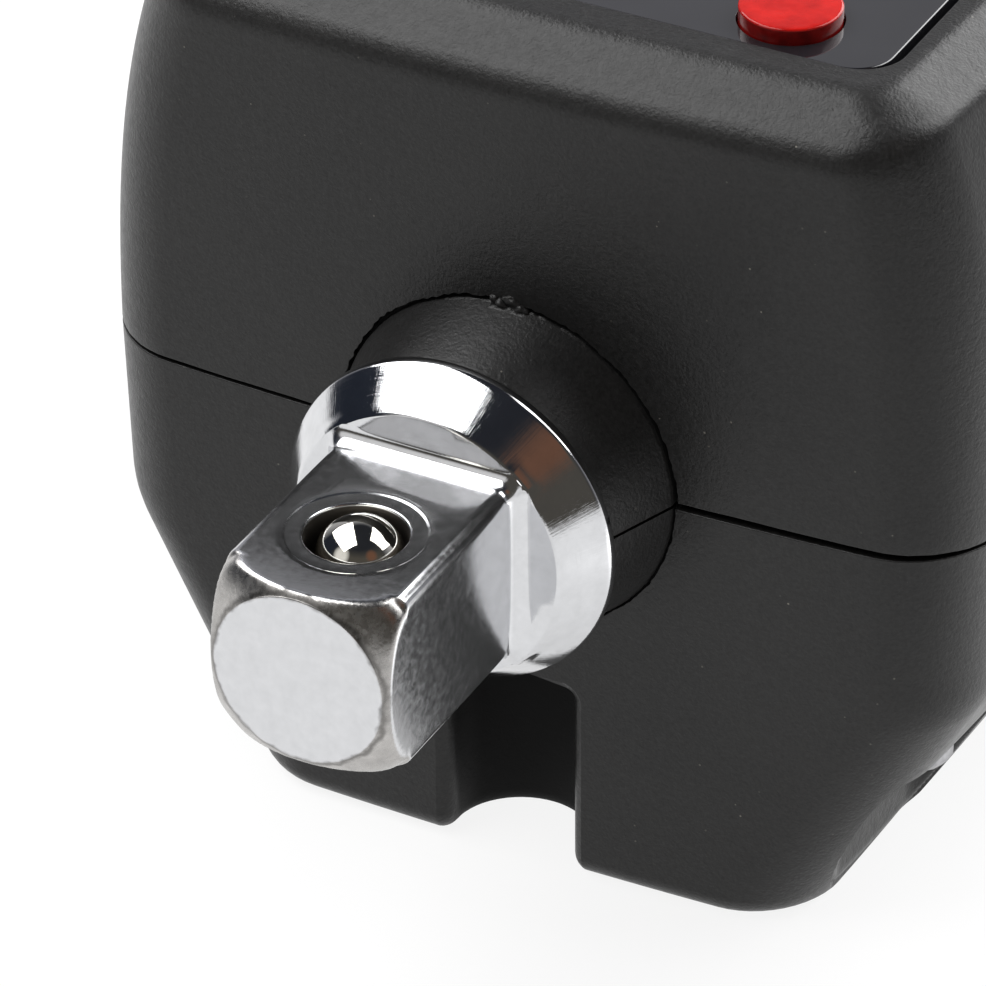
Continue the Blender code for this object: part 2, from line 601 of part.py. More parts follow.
def build_shaft():
    """One steel piece: male square, flange, journal, collars, gauge section and socket."""
    half = SQUARE / 2
    profile = [
        (0.0, SHOULDER_Y),
        (FLANGE_SHOULDER_R, SHOULDER_Y),
        (FLANGE_R, FLANGE_FRONT_Y),
        (FLANGE_R, FLANGE_BACK_Y),
        (JOURNAL_R, FLANGE_BACK_Y),
        (JOURNAL_R, FRONT_COLLAR_Y + COLLAR_LENGTH / 2),
        (SENSE_R, FRONT_COLLAR_Y + COLLAR_LENGTH / 2),
        (SENSE_R, REAR_COLLAR_Y + COLLAR_LENGTH / 2),
        (SOCKET_BODY_R, REAR_COLLAR_Y + COLLAR_LENGTH),
        (SOCKET_BODY_R, SHAFT_END_Y - SOCKET_MOUTH),
        (SOCKET_BODY_R - SOCKET_MOUTH, SHAFT_END_Y),
        (0.0, SHAFT_END_Y),
    ]
    shaft = turned("torque_shaft", profile, "Y", (0, 0, 0), 40, CHROME)

    bm = bmesh.new()
    rings = [square_section(half, SQUARE_EDGE_R, -1 * MM)]
    for k in range(5):
        angle = math.radians(90 * k / 4)
        grown = SQUARE_FILLET * (1 - math.cos(angle))
        y = SHOULDER_Y - SQUARE_FILLET * (1 - math.sin(angle))
        rings.append(square_section(half + grown, SQUARE_EDGE_R + grown / 2, y))
    rings.append(square_section(half + SQUARE_FILLET, SQUARE_EDGE_R + SQUARE_FILLET / 2,
                                SHOULDER_Y + 0.5 * MM))
    skin_rings(bm, rings)
    square = add_object("square_drive_form", bm)
    corner_r = math.hypot(half, half - SQUARE_EDGE_R)
    tip = [(0.0, 0.0), (TIP_FACE_R, 0.0)]
    for k in range(1, 5):
        turn = k / 4
        bulge = 0.22 * math.sin(math.pi * turn) * TIP_CHAMFER
        tip.append((TIP_FACE_R + (corner_r - TIP_FACE_R) * turn + bulge, TIP_CHAMFER * turn))
    tip += [(2 * corner_r, TIP_CHAMFER + corner_r), (2 * corner_r, 2 * SHOULDER_Y), (0.0, 2 * SHOULDER_Y)]
    boolean(square, turned("tip_form", tip, "Y", (0, 0, 0), 48), "INTERSECT")
    boolean(shaft, square, "UNION")

    for name, start in (("front_collar_form", FRONT_COLLAR_Y), ("rear_collar_form", REAR_COLLAR_Y)):
        collar = prism_along_y(name, hexagon(COLLAR_FLATS), (start, start + COLLAR_LENGTH))
        boolean(shaft, collar, "UNION")

    flats = (SENSE_MID_Y - SENSE_FLAT_LENGTH / 2, SENSE_MID_Y + SENSE_FLAT_LENGTH / 2)
    for name, side in (("upper_flat_cut", 1), ("lower_flat_cut", -1)):
        z = sorted((side * SENSE_FLAT, side * 2 * SENSE_R))
        boolean(shaft, box(name, (-2 * SENSE_R, 2 * SENSE_R), flats, z))

    top = SQUARE_TOP_Z
    bore = [
        (0.0, top - BALL_BORE_DEPTH),
        (BALL_BORE_R, top - BALL_BORE_DEPTH),
        (BALL_BORE_R, top - 3 * BALL_LIP_DEPTH),
        (BALL_LIP_R, top - BALL_LIP_DEPTH),
        (BALL_BORE_R, top),
        (BALL_BORE_R, top + BALL_LIP_DEPTH),
        (0.0, top + BALL_LIP_DEPTH),
    ]
    boolean(shaft, turned("ball_bore", bore, "Z", (0, BALL_SETBACK, 0), 32))
    ring = [
        (BALL_RING_R, top - 0.12 * MM),
        (BALL_RING_R + 0.15 * MM, top + 0.2 * MM),
        (BALL_RING_R - 0.15 * MM, top + 0.2 * MM),
    ]
    boolean(shaft, turned("ball_ring_groove", ring, "Z", (0, BALL_SETBACK, 0), 40, ring=True))

    s = SOCKET_SQUARE / 2
    mouth = s + SOCKET_MOUTH / 2
    rings = [
        [(-s, SHAFT_END_Y - SOCKET_DEPTH, -s), (s, SHAFT_END_Y - SOCKET_DEPTH, -s),
         (s, SHAFT_END_Y - SOCKET_DEPTH, s), (-s, SHAFT_END_Y - SOCKET_DEPTH, s)],
        [(-s, SHAFT_END_Y - SOCKET_MOUTH / 2, -s), (s, SHAFT_END_Y - SOCKET_MOUTH / 2, -s),
         (s, SHAFT_END_Y - SOCKET_MOUTH / 2, s), (-s, SHAFT_END_Y - SOCKET_MOUTH / 2, s)],
        [(-mouth, SHAFT_END_Y + 0.01 * MM, -mouth), (mouth, SHAFT_END_Y + 0.01 * MM, -mouth),
         (mouth, SHAFT_END_Y + 0.01 * MM, mouth), (-mouth, SHAFT_END_Y + 0.01 * MM, mouth)],
    ]
    boolean(shaft, loft("socket_cut", rings))
    dimple = [(0.0, 0.0), (BALL_R, 0.0), (BALL_R, s + 0.9 * MM), (0.0, s + 1.3 * MM)]
    boolean(shaft, turned("socket_detent_cut", dimple, "Z", (0, SHAFT_END_Y - BALL_SETBACK, 0), 20))
    return shaft


def coil(name, centre, axis, radius, wire_r, turns, length, mat, origin):
    """A helical spring with closed flat-ended tube, as a bevelled curve."""
    data = bpy.data.curves.new(name, "CURVE")
    data.dimensions = "3D"
    data.bevel_depth = wire_r
    data.bevel_resolution = 1
    data.use_fill_caps = True
    steps = 12 * turns
    spline = data.splines.new("POLY")
    spline.points.add(steps)
    span = length - 2 * wire_r
    for k in range(steps + 1):
        angle = 2 * math.pi * k / 12
        u, v = radius * math.cos(angle), radius * math.sin(angle)
        w = wire_r + span * k / steps
        local = Vector((u, w, v)) if axis == "Y" else Vector((u, v, w))
        point = Vector(centre) + local - Vector(origin)
        spline.points[k].co = (*point, 1.0)
    obj = bpy.data.objects.new(name, data)
    obj.location = origin
    data.materials.append(mat)
    bpy.context.scene.collection.objects.link(obj)
    return obj


def build_detent():
    """Spring-loaded ball in the square's upper flat."""
    lip_z = SQUARE_TOP_Z - BALL_LIP_DEPTH
    reach = math.sqrt((BALL_R + 0.12 * MM) ** 2 - BALL_LIP_R ** 2)
    ball_z = lip_z - reach
    profile = [(0.0, -BALL_R)]
    profile += [(BALL_R * math.cos(a), BALL_R * math.sin(a))
                for a in (math.radians(-90 + 180 * k / 10) for k in range(1, 10))]
    profile.append((0.0, BALL_R))
    centre = (0.0, BALL_SETBACK, ball_z)
    turned("detent_ball", profile, "Z", centre, 20, BALL_STEEL, origin=centre)
    bottom = SQUARE_TOP_Z - BALL_BORE_DEPTH + GAP
    length = ball_z - BALL_R - GAP - bottom + 0.4 * MM
    base = (0.0, BALL_SETBACK, bottom)
    coil("detent_spring", base, "Z", SPRING_COIL_R, SPRING_WIRE_R, SPRING_TURNS, length,
         SPRING_STEEL, base)


def build_seals():
    """O-rings round the shaft against the inside of the front and rear walls."""
    places = (
        ("front_seal_ring", JOURNAL_R, FRONT_INNER_Y + GAP + SEAL_SECTION_R),
        ("rear_seal_ring", SOCKET_BODY_R, REAR_INNER_Y - GAP - SEAL_SECTION_R),
    )
    for name, shaft_r, y in places:
        major = shaft_r + GAP + SEAL_SECTION_R
        profile = arc_points((major, y), SEAL_SECTION_R, 0, 360, 8)[:-1]
        turned(name, profile, "Y", (0, 0, 0), 26, SEAL_RUBBER, ring=True)


def build_gauges():
    """Strain gauges on the shaft's flats and the strip that leads to the board."""
    y = (SENSE_MID_Y - GAUGE_LENGTH / 2, SENSE_MID_Y + GAUGE_LENGTH / 2)
    x = (-GAUGE_HALF_WIDTH, GAUGE_HALF_WIDTH)
    low = SENSE_FLAT + GAP
    box("upper_strain_gauge", x, y, (low, low + GAUGE_THICK), FOIL_AMBER)
    box("lower_strain_gauge", x, y, (-low - GAUGE_THICK, -low), FOIL_AMBER)
    foot_z = low + GAUGE_THICK + GAP
    head_z = BOARD_BOTTOM_Z - GAP
    y0 = SENSE_MID_Y
    t = FLEX_THICK
    outline = [
        (y0 - FLEX_FOOT, foot_z), (y0 + t, foot_z), (y0 + t, head_z - t), (y0 + FLEX_FOOT, head_z - t),
        (y0 + FLEX_FOOT, head_z), (y0, head_z), (y0, foot_z + t), (y0 - FLEX_FOOT, foot_z + t),
    ]
    rings = [[(px, py, pz) for py, pz in outline] for px in (-FLEX_HALF_WIDTH, FLEX_HALF_WIDTH)]
    loft("gauge_flex_lead", rings, FOIL_AMBER)


# Body shells.

def nose_form(name):
    """Turned nose boss, from inside the front wall to its end behind the flange."""
    waist_y = FACE_Y - NOSE_FLARE
    profile = [(0.0, NOSE_END_Y), (NOSE_END_R, NOSE_END_Y), (NOSE_WAIST_R, waist_y - 0.4 * MM)]
    for k in range(1, 5):
        angle = math.radians(90 * k / 4)
        r = NOSE_BASE_R - (NOSE_BASE_R - NOSE_WAIST_R) * math.cos(angle)
        profile.append((r, waist_y + NOSE_FLARE * (1 - math.cos(angle))))
    profile += [(NOSE_BASE_R, FACE_Y + WALL / 2), (0.0, FACE_Y + WALL / 2)]
    return turned(name, profile, "Y", (0, 0, 0), 40)


def half_space(name, upper):
    """A large box that covers one side of the parting gap."""
    span = (-2 * BODY_HALF_WIDTH, 2 * BODY_HALF_WIDTH)
    z = (HALF_GAP, 2 * TOP_Z) if upper else (2 * BOTTOM_Z, -HALF_GAP)
    return box(name, span, (-BODY_DEPTH, 3 * BODY_DEPTH), z)


def add_bulkheads(shell, tag, near_z, far_z):
    """Walls across the shell that grip the shaft's hexagon collars."""
    sides = side_path(far_z > 0)
    for place, y in (("front", FRONT_BULKHEAD_Y), ("rear", REAR_BULKHEAD_Y)):
        right = []
        for k in range(4):
            z = near_z + (far_z - near_z) * k / 3
            crown = min(side_crown(y), side_crown(y + BULKHEAD))
            right.append((at_height(sides, z) * crown - WALL / 2, z))
        outline = right + [(-x, z) for x, z in reversed(right)]
        wall = prism_along_y(f"{tag}_{place}_bulkhead_form", outline, (y, y + BULKHEAD))
        boolean(shell, wall, "UNION")


def cut_shaft_ways(shell, tag):
    """Collar seats, nose bore and rear bore."""
    seat = hexagon(COLLAR_FLATS + 2 * GAP)
    for place, y in (("front", FRONT_BULKHEAD_Y), ("rear", REAR_BULKHEAD_Y)):
        boolean(shell, prism_along_y(f"{tag}_{place}_seat_cut", seat, (y - MM, y + BULKHEAD + MM)))
    ends = (
        ("nose_bore", BORE_R, NOSE_END_Y - MM, FRONT_INNER_Y + 0.5 * MM),
        ("rear_bore", SOCKET_BODY_R + GAP, REAR_INNER_Y - MM, REAR_Y + MM),
    )
    for place, radius, y0, y1 in ends:
        profile = [(0.0, y0), (radius, y0), (radius, y1), (0.0, y1)]
        boolean(shell, turned(f"{tag}_{place}_cut", profile, "Y", (0, 0, 0), 36))


def cylinder_z(name, x, y, radius, z, steps=14, mat=None):
    profile = [(0.0, z[0]), (radius, z[0]), (radius, z[1]), (0.0, z[1])]
    return turned(name, profile, "Z", (x, y, 0), steps, mat)


def add_nose(shell, tag, upper):
    nose = nose_form(f"{tag}_nose_form")
    boolean(nose, half_space(f"{tag}_nose_side", upper), "INTERSECT")
    boolean(shell, nose, "UNION")


def build_upper_housing():
    shell = body_half("upper_housing", True, HALF_GAP, SHELL_BLACK)
    boolean(shell, body_cavity("upper_cavity", True, CEILING_Z))
    add_bulkheads(shell, "upper", HALF_GAP, BULKHEAD_TOP_Z)
    add_nose(shell, "upper", True)
    for side, tag in ((-1, "left"), (1, "right")):
        for y, place in zip(POCKET_YS, ("front", "rear")):
            x = side * POCKET_X
            boss = cylinder_z(f"upper_{place}_{tag}_boss", x, y, SCREW_BOSS_R,
                              (HALF_GAP, BULKHEAD_TOP_Z))
            web_top = BULKHEAD_TOP_Z - MM
            reach = at_height(side_path(True), web_top) * side_crown(y) - WALL
            web = box(f"upper_{place}_{tag}_web", sorted((x, side * reach)), (y - MM, y + MM),
                      (HALF_GAP, web_top))
            boolean(shell, boss, "UNION")
            boolean(shell, web, "UNION")
            boolean(shell, cylinder_z(f"upper_{place}_{tag}_pilot", x, y, SCREW_R + GAP,
                                      (-MM, SCREW_TIP_Z + MM)))
        for y, place in zip(POST_AT, ("front", "rear")):
            x = side * POST_X
            post_z = BOARD_TOP_Z + GAP
            boolean(shell, cylinder_z(f"{place}_{tag}_board_post", x, FACE_Y + y, POST_R,
                                      (post_z, CEILING_Z + 0.5 * MM)), "UNION")
            boolean(shell, cylinder_z(f"{place}_{tag}_post_pilot", x, FACE_Y + y,
                                      BOARD_SCREW_R + 0.15 * MM, (post_z - MM, post_z + 4 * MM), 12))
    boolean(shell, tongue_form("parting_tongue", 0.0, (-TONGUE_REACH, GAP)), "UNION")
    cut_shaft_ways(shell, "upper")
    edge = PANEL_HALF_WIDTH + PANEL_FIT
    recess = rounded_rectangle((-edge, edge), (PANEL_FRONT_Y - PANEL_FIT, PANEL_REAR_Y + PANEL_FIT),
                               PANEL_CORNER_R + PANEL_FIT)
    boolean(shell, prism("panel_recess_cut", recess, (RECESS_Z, TOP_Z + MM)))
    margin = LCD_WINDOW_MARGIN
    window = rounded_rectangle((-LCD_HALF_WIDTH + margin, LCD_HALF_WIDTH - margin),
                               (LCD_FRONT_Y + margin, LCD_REAR_Y - margin), 0.8 * MM, 2)
    boolean(shell, prism("lcd_window_cut", window, (CEILING_Z - MM, RECESS_Z + MM)))
    for name, x, y in zip(BUTTON_NAMES, BUTTON_XS, BUTTON_YS):
        boolean(shell, cylinder_z(f"{name}_hole", x, y, BUTTON_HOLE_R,
                                  (CEILING_Z - MM, RECESS_Z + MM), 22))
    boolean(shell, cylinder_z("led_hole", 0, FACE_Y + LED_AT, LED_R + GAP,
                              (CEILING_Z - MM, RECESS_Z + MM), 12))


def notch_outline(grow):
    """Plan of the front notch: a slot with a round end, open at the front face."""
    r = NOTCH_HALF_WIDTH + grow
    return [(-r, FACE_Y - 2 * MM), (r, FACE_Y - 2 * MM)] + arc_points((0, NOTCH_CENTRE_Y), r, 0, 180, 12)


def notch_cutter():
    """The notch's space, flared to round its lower edge, with a low domed top."""
    rings = [[(px, py, BOTTOM_Z - MM) for px, py in notch_outline(NOTCH_FOOT_R)]]
    for k in range(5):
        turn = math.radians(90 * k / 4)
        grow = NOTCH_FOOT_R * (1 - math.sin(turn))
        z = BOTTOM_Z + NOTCH_FOOT_R * (1 - math.cos(turn))
        rings.append([(px, py, z) for px, py in notch_outline(grow)])
    for k in range(4):
        turn = math.radians(90 * k / 3)
        grow = -NOTCH_DOME * (1 - math.cos(turn))
        z = NOTCH_TOP_Z - NOTCH_DOME * (1 - math.sin(turn))
        rings.append([(px, py, z) for px, py in notch_outline(grow)])
    return loft("front_notch_cut", rings)


def build_lower_housing():
    shell = body_half("lower_housing", False, -HALF_GAP, SHELL_BLACK)
    outer = body_cavity("lower_mid_form", False, BOTTOM_Z + FLOOR_THICK / 2, WALL / 2)
    boolean(shell, body_cavity("lower_cavity", False, FLOOR_Z))
    add_bulkheads(shell, "lower", -HALF_GAP, (BAY_ROOF_BOTTOM_Z + BAY_ROOF_TOP_Z) / 2)
    add_nose(shell, "lower", False)

    roof_end = REAR_Y - POCKET_AT
    bay_x = BAY_HALF_WIDTH + BAY_WALL
    boolean(shell, box("bay_roof", (-bay_x, bay_x), (BAY_WALL_Y, roof_end),
                       (BAY_ROOF_BOTTOM_Z, BAY_ROOF_TOP_Z)), "UNION")
    for side, tag in ((-1, "left"), (1, "right")):
        x = sorted((side * BAY_HALF_WIDTH, side * bay_x))
        boolean(shell, box(f"bay_{tag}_wall", x, (BAY_WALL_Y, REAR_INNER_Y + MM),
                           (FLOOR_Z - 0.5 * MM, BAY_ROOF_TOP_Z - 0.2 * MM)), "UNION")
    boolean(shell, box("bay_front_wall", (-bay_x, bay_x), (BAY_WALL_Y, BAY_FRONT_Y),
                       (FLOOR_Z - 0.5 * MM, BAY_ROOF_TOP_Z - 0.2 * MM)), "UNION")

    surround = prism("front_notch_surround", notch_outline(BAY_WALL),
                     (BOTTOM_Z - MM, NOTCH_TOP_Z + BAY_WALL))
    boolean(surround, outer, "INTERSECT")
    boolean(shell, surround, "UNION")
    for side, tag in ((-1, "left"), (1, "right")):
        for y, place in zip(POCKET_YS, ("front", "rear")):
            x = side * POCKET_X
            pad = prism(f"lower_{place}_{tag}_pad",
                        slot_outline((x, y), POCKET_HALF_WIDTH + POCKET_WALL,
                                     POCKET_HALF_LENGTH + POCKET_WALL),
                        (BOTTOM_Z - MM, POCKET_TOP_Z + POCKET_WALL))
            boss = cylinder_z(f"lower_{place}_{tag}_boss", x, y, SCREW_BOSS_R,
                              (POCKET_TOP_Z, -HALF_GAP))
            boolean(pad, outer, "INTERSECT")
            boolean(shell, pad, "UNION")
            boolean(shell, boss, "UNION")
    boolean(shell, tongue_form("parting_rebate", GAP, (-TONGUE_REACH - GAP, GAP)))
    cut_shaft_ways(shell, "lower")
    boolean(shell, notch_cutter())
    for side, tag in ((-1, "left"), (1, "right")):
        for y, place in zip(POCKET_YS, ("front", "rear")):
            x = side * POCKET_X
            boolean(shell, prism(f"lower_{place}_{tag}_pocket",
                                 slot_outline((x, y), POCKET_HALF_WIDTH, POCKET_HALF_LENGTH),
                                 (BOTTOM_Z - MM, POCKET_TOP_Z)))
            boolean(shell, cylinder_z(f"lower_{place}_{tag}_way", x, y, SCREW_R + GAP,
                                      (POCKET_TOP_Z - MM, MM)))
    wide = (-DOOR_OPENING_HALF, DOOR_OPENING_HALF)
    boolean(shell, box("battery_opening_cut", wide, (BAY_FRONT_Y, REAR_INNER_Y + 0.5 * MM),
                       (BOTTOM_Z - MM, FLOOR_Z + MM)))
    boolean(shell, box("door_exit_cut", wide, (REAR_INNER_Y, REAR_Y + MM),
                       (BOTTOM_Z - MM, DOOR_TOP_Z + GAP)))
    reach = (-DOOR_HALF_WIDTH - DOOR_TAB_REACH - GAP, DOOR_HALF_WIDTH + DOOR_TAB_REACH + GAP)
    for k, at in enumerate(DOOR_TABS_AT):
        y = FACE_Y + at + DOOR_TRAVEL
        boolean(shell, box(f"door_tab_{k + 1}_drop_cut", reach, (y - GAP, y + DOOR_TAB_LENGTH + GAP),
                           (BOTTOM_Z - MM, FLOOR_Z + 0.2 * MM)))


def build_battery_door():
    """Sliding cover under the cells, flush with the body and held by side tabs."""
    width = (-DOOR_HALF_WIDTH, DOOR_HALF_WIDTH)
    door = box("battery_door", width, (DOOR_FRONT_Y, REAR_Y + MM), (BOTTOM_Z - MM, DOOR_TOP_Z),
               SHELL_BLACK)
    boolean(door, body_half("door_outer_form", False, -HALF_GAP), "INTERSECT")
    for side, tag in ((-1, "left"), (1, "right")):
        for k, at in enumerate(DOOR_TABS_AT):
            y = (FACE_Y + at, FACE_Y + at + DOOR_TAB_LENGTH)
            inner = side * (DOOR_HALF_WIDTH - MM)
            post = sorted((inner, side * DOOR_HALF_WIDTH))
            arm = sorted((inner, side * (DOOR_HALF_WIDTH + DOOR_TAB_REACH)))
            boolean(door, box(f"{tag}_tab_{k + 1}_post", post, y,
                              (DOOR_TOP_Z - 0.5 * MM, TAB_BOTTOM_Z + 0.2 * MM)), "UNION")
            boolean(door, box(f"{tag}_tab_{k + 1}_arm", arm, y, (TAB_BOTTOM_Z, TAB_TOP_Z)), "UNION")
    for k in range(DOOR_GRIP_COUNT):
        y = FACE_Y + DOOR_GRIP_AT + k * DOOR_GRIP_PITCH
        groove = [
            (y, BOTTOM_Z - 0.1 * MM),
            (y + DOOR_GRIP_DEPTH, BOTTOM_Z - 0.1 * MM),
            (y + DOOR_GRIP_DEPTH / 2, BOTTOM_Z + DOOR_GRIP_DEPTH),
        ]
        rings = [[(px, py, pz) for py, pz in groove] for px in (-DOOR_GRIP_HALF_WIDTH, DOOR_GRIP_HALF_WIDTH)]
        boolean(door, loft(f"grip_groove_{k + 1}", rings))


# Panel, buttons, electronics.

def build_panel():
    """Glossy cover over the display, with a hole for each button."""
    outline = rounded_rectangle((-PANEL_HALF_WIDTH, PANEL_HALF_WIDTH), (PANEL_FRONT_Y, PANEL_REAR_Y),
                                PANEL_CORNER_R, 6)
    panel = prism("display_panel", outline, (PANEL_BOTTOM_Z, PANEL_TOP_Z), PANEL_SMOKE)
    for name, x, y in zip(BUTTON_NAMES, BUTTON_XS, BUTTON_YS):
        boolean(panel, cylinder_z(f"{name}_panel_hole", x, y, BUTTON_HOLE_R,
                                  (PANEL_BOTTOM_Z - MM, PANEL_TOP_Z + MM), 22))


def build_buttons():
    """Buttons with a retaining flange, and the switches that they press."""
    for k, (name, x, y) in enumerate(zip(BUTTON_NAMES, BUTTON_XS, BUTTON_YS), 1):
        flange_z = BUTTON_FLANGE_TOP_Z - BUTTON_FLANGE_H
        profile = [
            (0.0, BUTTON_TOP_Z),
            (0.6 * BUTTON_R, BUTTON_TOP_Z - 0.3 * BUTTON_DOME),
            (BUTTON_R - BUTTON_DOME, BUTTON_TOP_Z - BUTTON_DOME),
            (BUTTON_R, BUTTON_TOP_Z - 2 * BUTTON_DOME),
            (BUTTON_R, BUTTON_FLANGE_TOP_Z),
            (BUTTON_FLANGE_R, BUTTON_FLANGE_TOP_Z),
            (BUTTON_FLANGE_R, flange_z),
            (BUTTON_STEM_R, flange_z),
            (BUTTON_STEM_R, STEM_BOTTOM_Z),
            (0.0, STEM_BOTTOM_Z),
        ]
        turned(name, profile, "Z", (x, y, 0), 22, BUTTON_RED, origin=(x, y, PANEL_TOP_Z))
        half = SWITCH_SIZE / 2
        switch = box(f"tact_switch_{k}", (x - half, x + half), (y - half, y + half),
                     (SWITCH_BOTTOM_Z, SWITCH_TOP_Z), SWITCH_BLACK)
        boolean(switch, cylinder_z(f"plunger_well_{k}", x, y, PLUNGER_R + GAP,
                                   (PLUNGER_WELL_Z, SWITCH_TOP_Z + MM), 16))
        plunger = [(0.0, PLUNGER_BOTTOM_Z), (PLUNGER_R, PLUNGER_BOTTOM_Z), (PLUNGER_R, PLUNGER_TOP_Z),
                   (0.0, PLUNGER_TOP_Z)]
        turned(f"switch_plunger_{k}", plunger, "Z", (x, y, 0), 16, SWITCH_BLACK,
               origin=(x, y, PLUNGER_TOP_Z))


def build_electronics():
    x = (-BOARD_HALF_WIDTH, BOARD_HALF_WIDTH)
    outline = rounded_rectangle(x, (BOARD_FRONT_Y, BOARD_REAR_Y), 1.5 * MM, 3)
    board = prism("circuit_board", outline, (BOARD_BOTTOM_Z, BOARD_TOP_Z), BOARD_GREEN)
    for side, tag in ((-1, "left"), (1, "right")):
        for at, place in zip(POST_AT, ("front", "rear")):
            sx, sy = side * POST_X, FACE_Y + at
            boolean(board, cylinder_z(f"{place}_{tag}_board_hole", sx, sy, BOARD_SCREW_R + GAP,
                                      (BOARD_BOTTOM_Z - MM, BOARD_TOP_Z + MM), 16))
            head_top = BOARD_BOTTOM_Z - GAP
            tip_z = BOARD_TOP_Z + GAP + 3.5 * MM
            profile = [
                (0.0, head_top - BOARD_SCREW_HEAD_H),
                (BOARD_SCREW_HEAD_R, head_top - BOARD_SCREW_HEAD_H),
                (BOARD_SCREW_HEAD_R, head_top),
                (BOARD_SCREW_R, head_top),
                (BOARD_SCREW_R, tip_z - BOARD_SCREW_R),
                (0.0, tip_z),
            ]
            turned(f"board_screw_{place}_{tag}", profile, "Z", (sx, sy, 0), 14, SCREW_STEEL)

    w = LCD_HALF_WIDTH
    y = (LCD_FRONT_Y, LCD_REAR_Y)
    frame = box("lcd_frame", (-w, w), y, (LCD_BOTTOM_Z, LCD_TOP_Z), FRAME_GREY)
    inset = LCD_FRAME_WALL
    hole_y = (y[0] + inset, y[1] - inset)
    boolean(frame, box("lcd_frame_hole", (-w + inset, w - inset), hole_y,
                       (LCD_BOTTOM_Z - MM, LCD_TOP_Z + MM)))
    inset += GAP
    inner_x = (-w + inset, w - inset)
    inner_y = (y[0] + inset, y[1] - inset)
    box("lcd_glass", inner_x, inner_y, (GLASS_BOTTOM_Z, LCD_TOP_Z), LCD_GREY)
    box("lcd_backlight", inner_x, inner_y, (LCD_BOTTOM_Z, GLASS_BOTTOM_Z - GAP), LIGHT_WHITE)

    led_top = CEILING_Z - GAP
    led = [(0.0, SWITCH_BOTTOM_Z), (LED_R, SWITCH_BOTTOM_Z), (LED_R, led_top - LED_R / 2),
           (0.7 * LED_R, led_top - 0.15 * LED_R), (0.0, led_top)]
    turned("indicator_led", led, "Z", (0, FACE_Y + LED_AT, 0), 12, BUTTON_RED)
    below = BOARD_BOTTOM_Z - GAP
    half = CHIP_SIZE / 2
    chip_y = FACE_Y + CHIP_AT
    box("controller_chip", (CHIP_X - half, CHIP_X + half), (chip_y - half, chip_y + half),
        (below - CHIP_H, below), CHIP_BLACK)
    buzzer = cylinder_z("buzzer", BUZZER_X, FACE_Y + BUZZER_AT, BUZZER_R, (below - BUZZER_H, below),
                        28, CHIP_BLACK)
    boolean(buzzer, cylinder_z("buzzer_port_cut", BUZZER_X, FACE_Y + BUZZER_AT, MM,
                               (below - BUZZER_H - MM, below - BUZZER_H + MM), 12))


def build_battery_parts():
    low = CELL_Z - CELL_R + 0.6 * MM
    high = CELL_Z + CELL_R - 0.4 * MM
    plate_x = CELL_PITCH / 2 + CONTACT_HALF_WIDTH
    box("front_contact_plate", (-plate_x, plate_x), (CONTACT_FRONT_Y, CONTACT_FRONT_Y + CONTACT_THICK),
        (low, high), NICKEL)
    for side, tag in ((-1, "left"), (1, "right")):
        x = side * CELL_PITCH / 2
        profile = [
            (0.0, CELL_FRONT_Y),
            (CELL_R - 0.5 * MM, CELL_FRONT_Y),
            (CELL_R, CELL_FRONT_Y + 0.5 * MM),
            (CELL_R, CELL_REAR_Y - 0.5 * MM),
            (CELL_R - 0.5 * MM, CELL_REAR_Y),
            (CELL_NUB_R, CELL_REAR_Y),
            (CELL_NUB_R, CELL_REAR_Y + CELL_NUB),
            (0.0, CELL_REAR_Y + CELL_NUB),
        ]
        turned(f"battery_cell_{tag}", profile, "Y", (x, 0, CELL_Z), 22, CELL_WRAP)
        base = (x, SPRING_FRONT_Y, CELL_Z)
        coil(f"contact_spring_{tag}", base, "Y", CONTACT_SPRING_R, CONTACT_SPRING_WIRE_R,
             CONTACT_SPRING_TURNS, CONTACT_SPRING_LENGTH, SPRING_STEEL, base)
        box(f"rear_contact_{tag}", (x - CONTACT_HALF_WIDTH, x + CONTACT_HALF_WIDTH),
            (CONTACT_REAR_Y, CONTACT_REAR_Y + CONTACT_THICK), (low, high), NICKEL)


def build_housing_screws():
    for side, tag in ((-1, "left"), (1, "right")):
        for y, place in zip(POCKET_YS, ("front", "rear")):
            head_top = POCKET_TOP_Z - GAP
            profile = [
                (0.0, head_top - SCREW_HEAD_H),
                (SCREW_HEAD_R - 0.3 * MM, head_top - SCREW_HEAD_H),
                (SCREW_HEAD_R, head_top - SCREW_HEAD_H + 0.4 * MM),
                (SCREW_HEAD_R, head_top),
                (SCREW_R, head_top),
                (SCREW_R, SCREW_TIP_Z - SCREW_R),
                (0.0, SCREW_TIP_Z),
            ]
            screw = turned(f"housing_screw_{place}_{tag}", profile, "Z", (side * POCKET_X, y, 0), 16,
                           SCREW_STEEL)
            low = head_top - SCREW_HEAD_H
            for arm, (ax, ay) in (("a", (1.4 * MM, 0.3 * MM)), ("b", (0.3 * MM, 1.4 * MM))):
                sx = side * POCKET_X
                boolean(screw, box(f"screw_slot_{arm}_{place}_{tag}", (sx - ax, sx + ax), (y - ay, y + ay),
                                   (low - MM, low + 0.7 * MM)))


build_shaft()
build_detent()
build_seals()
build_gauges()
build_upper_housing()
build_lower_housing()
build_battery_door()
build_panel()
build_buttons()
build_electronics()
build_battery_parts()
build_housing_screws()
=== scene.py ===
"""Looks of the digital torque adapter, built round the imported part.

Lengths are in millimetres until a mesh is made. The drive axis is Y, +Z is up and the
male square's end face is at Y = 0, as in the CAD.
"""

import math

import bmesh
import bpy
from mathutils import Matrix, Vector, noise
from mathutils.bvhtree import BVHTree
from mathutils.interpolate import poly_3d_calc


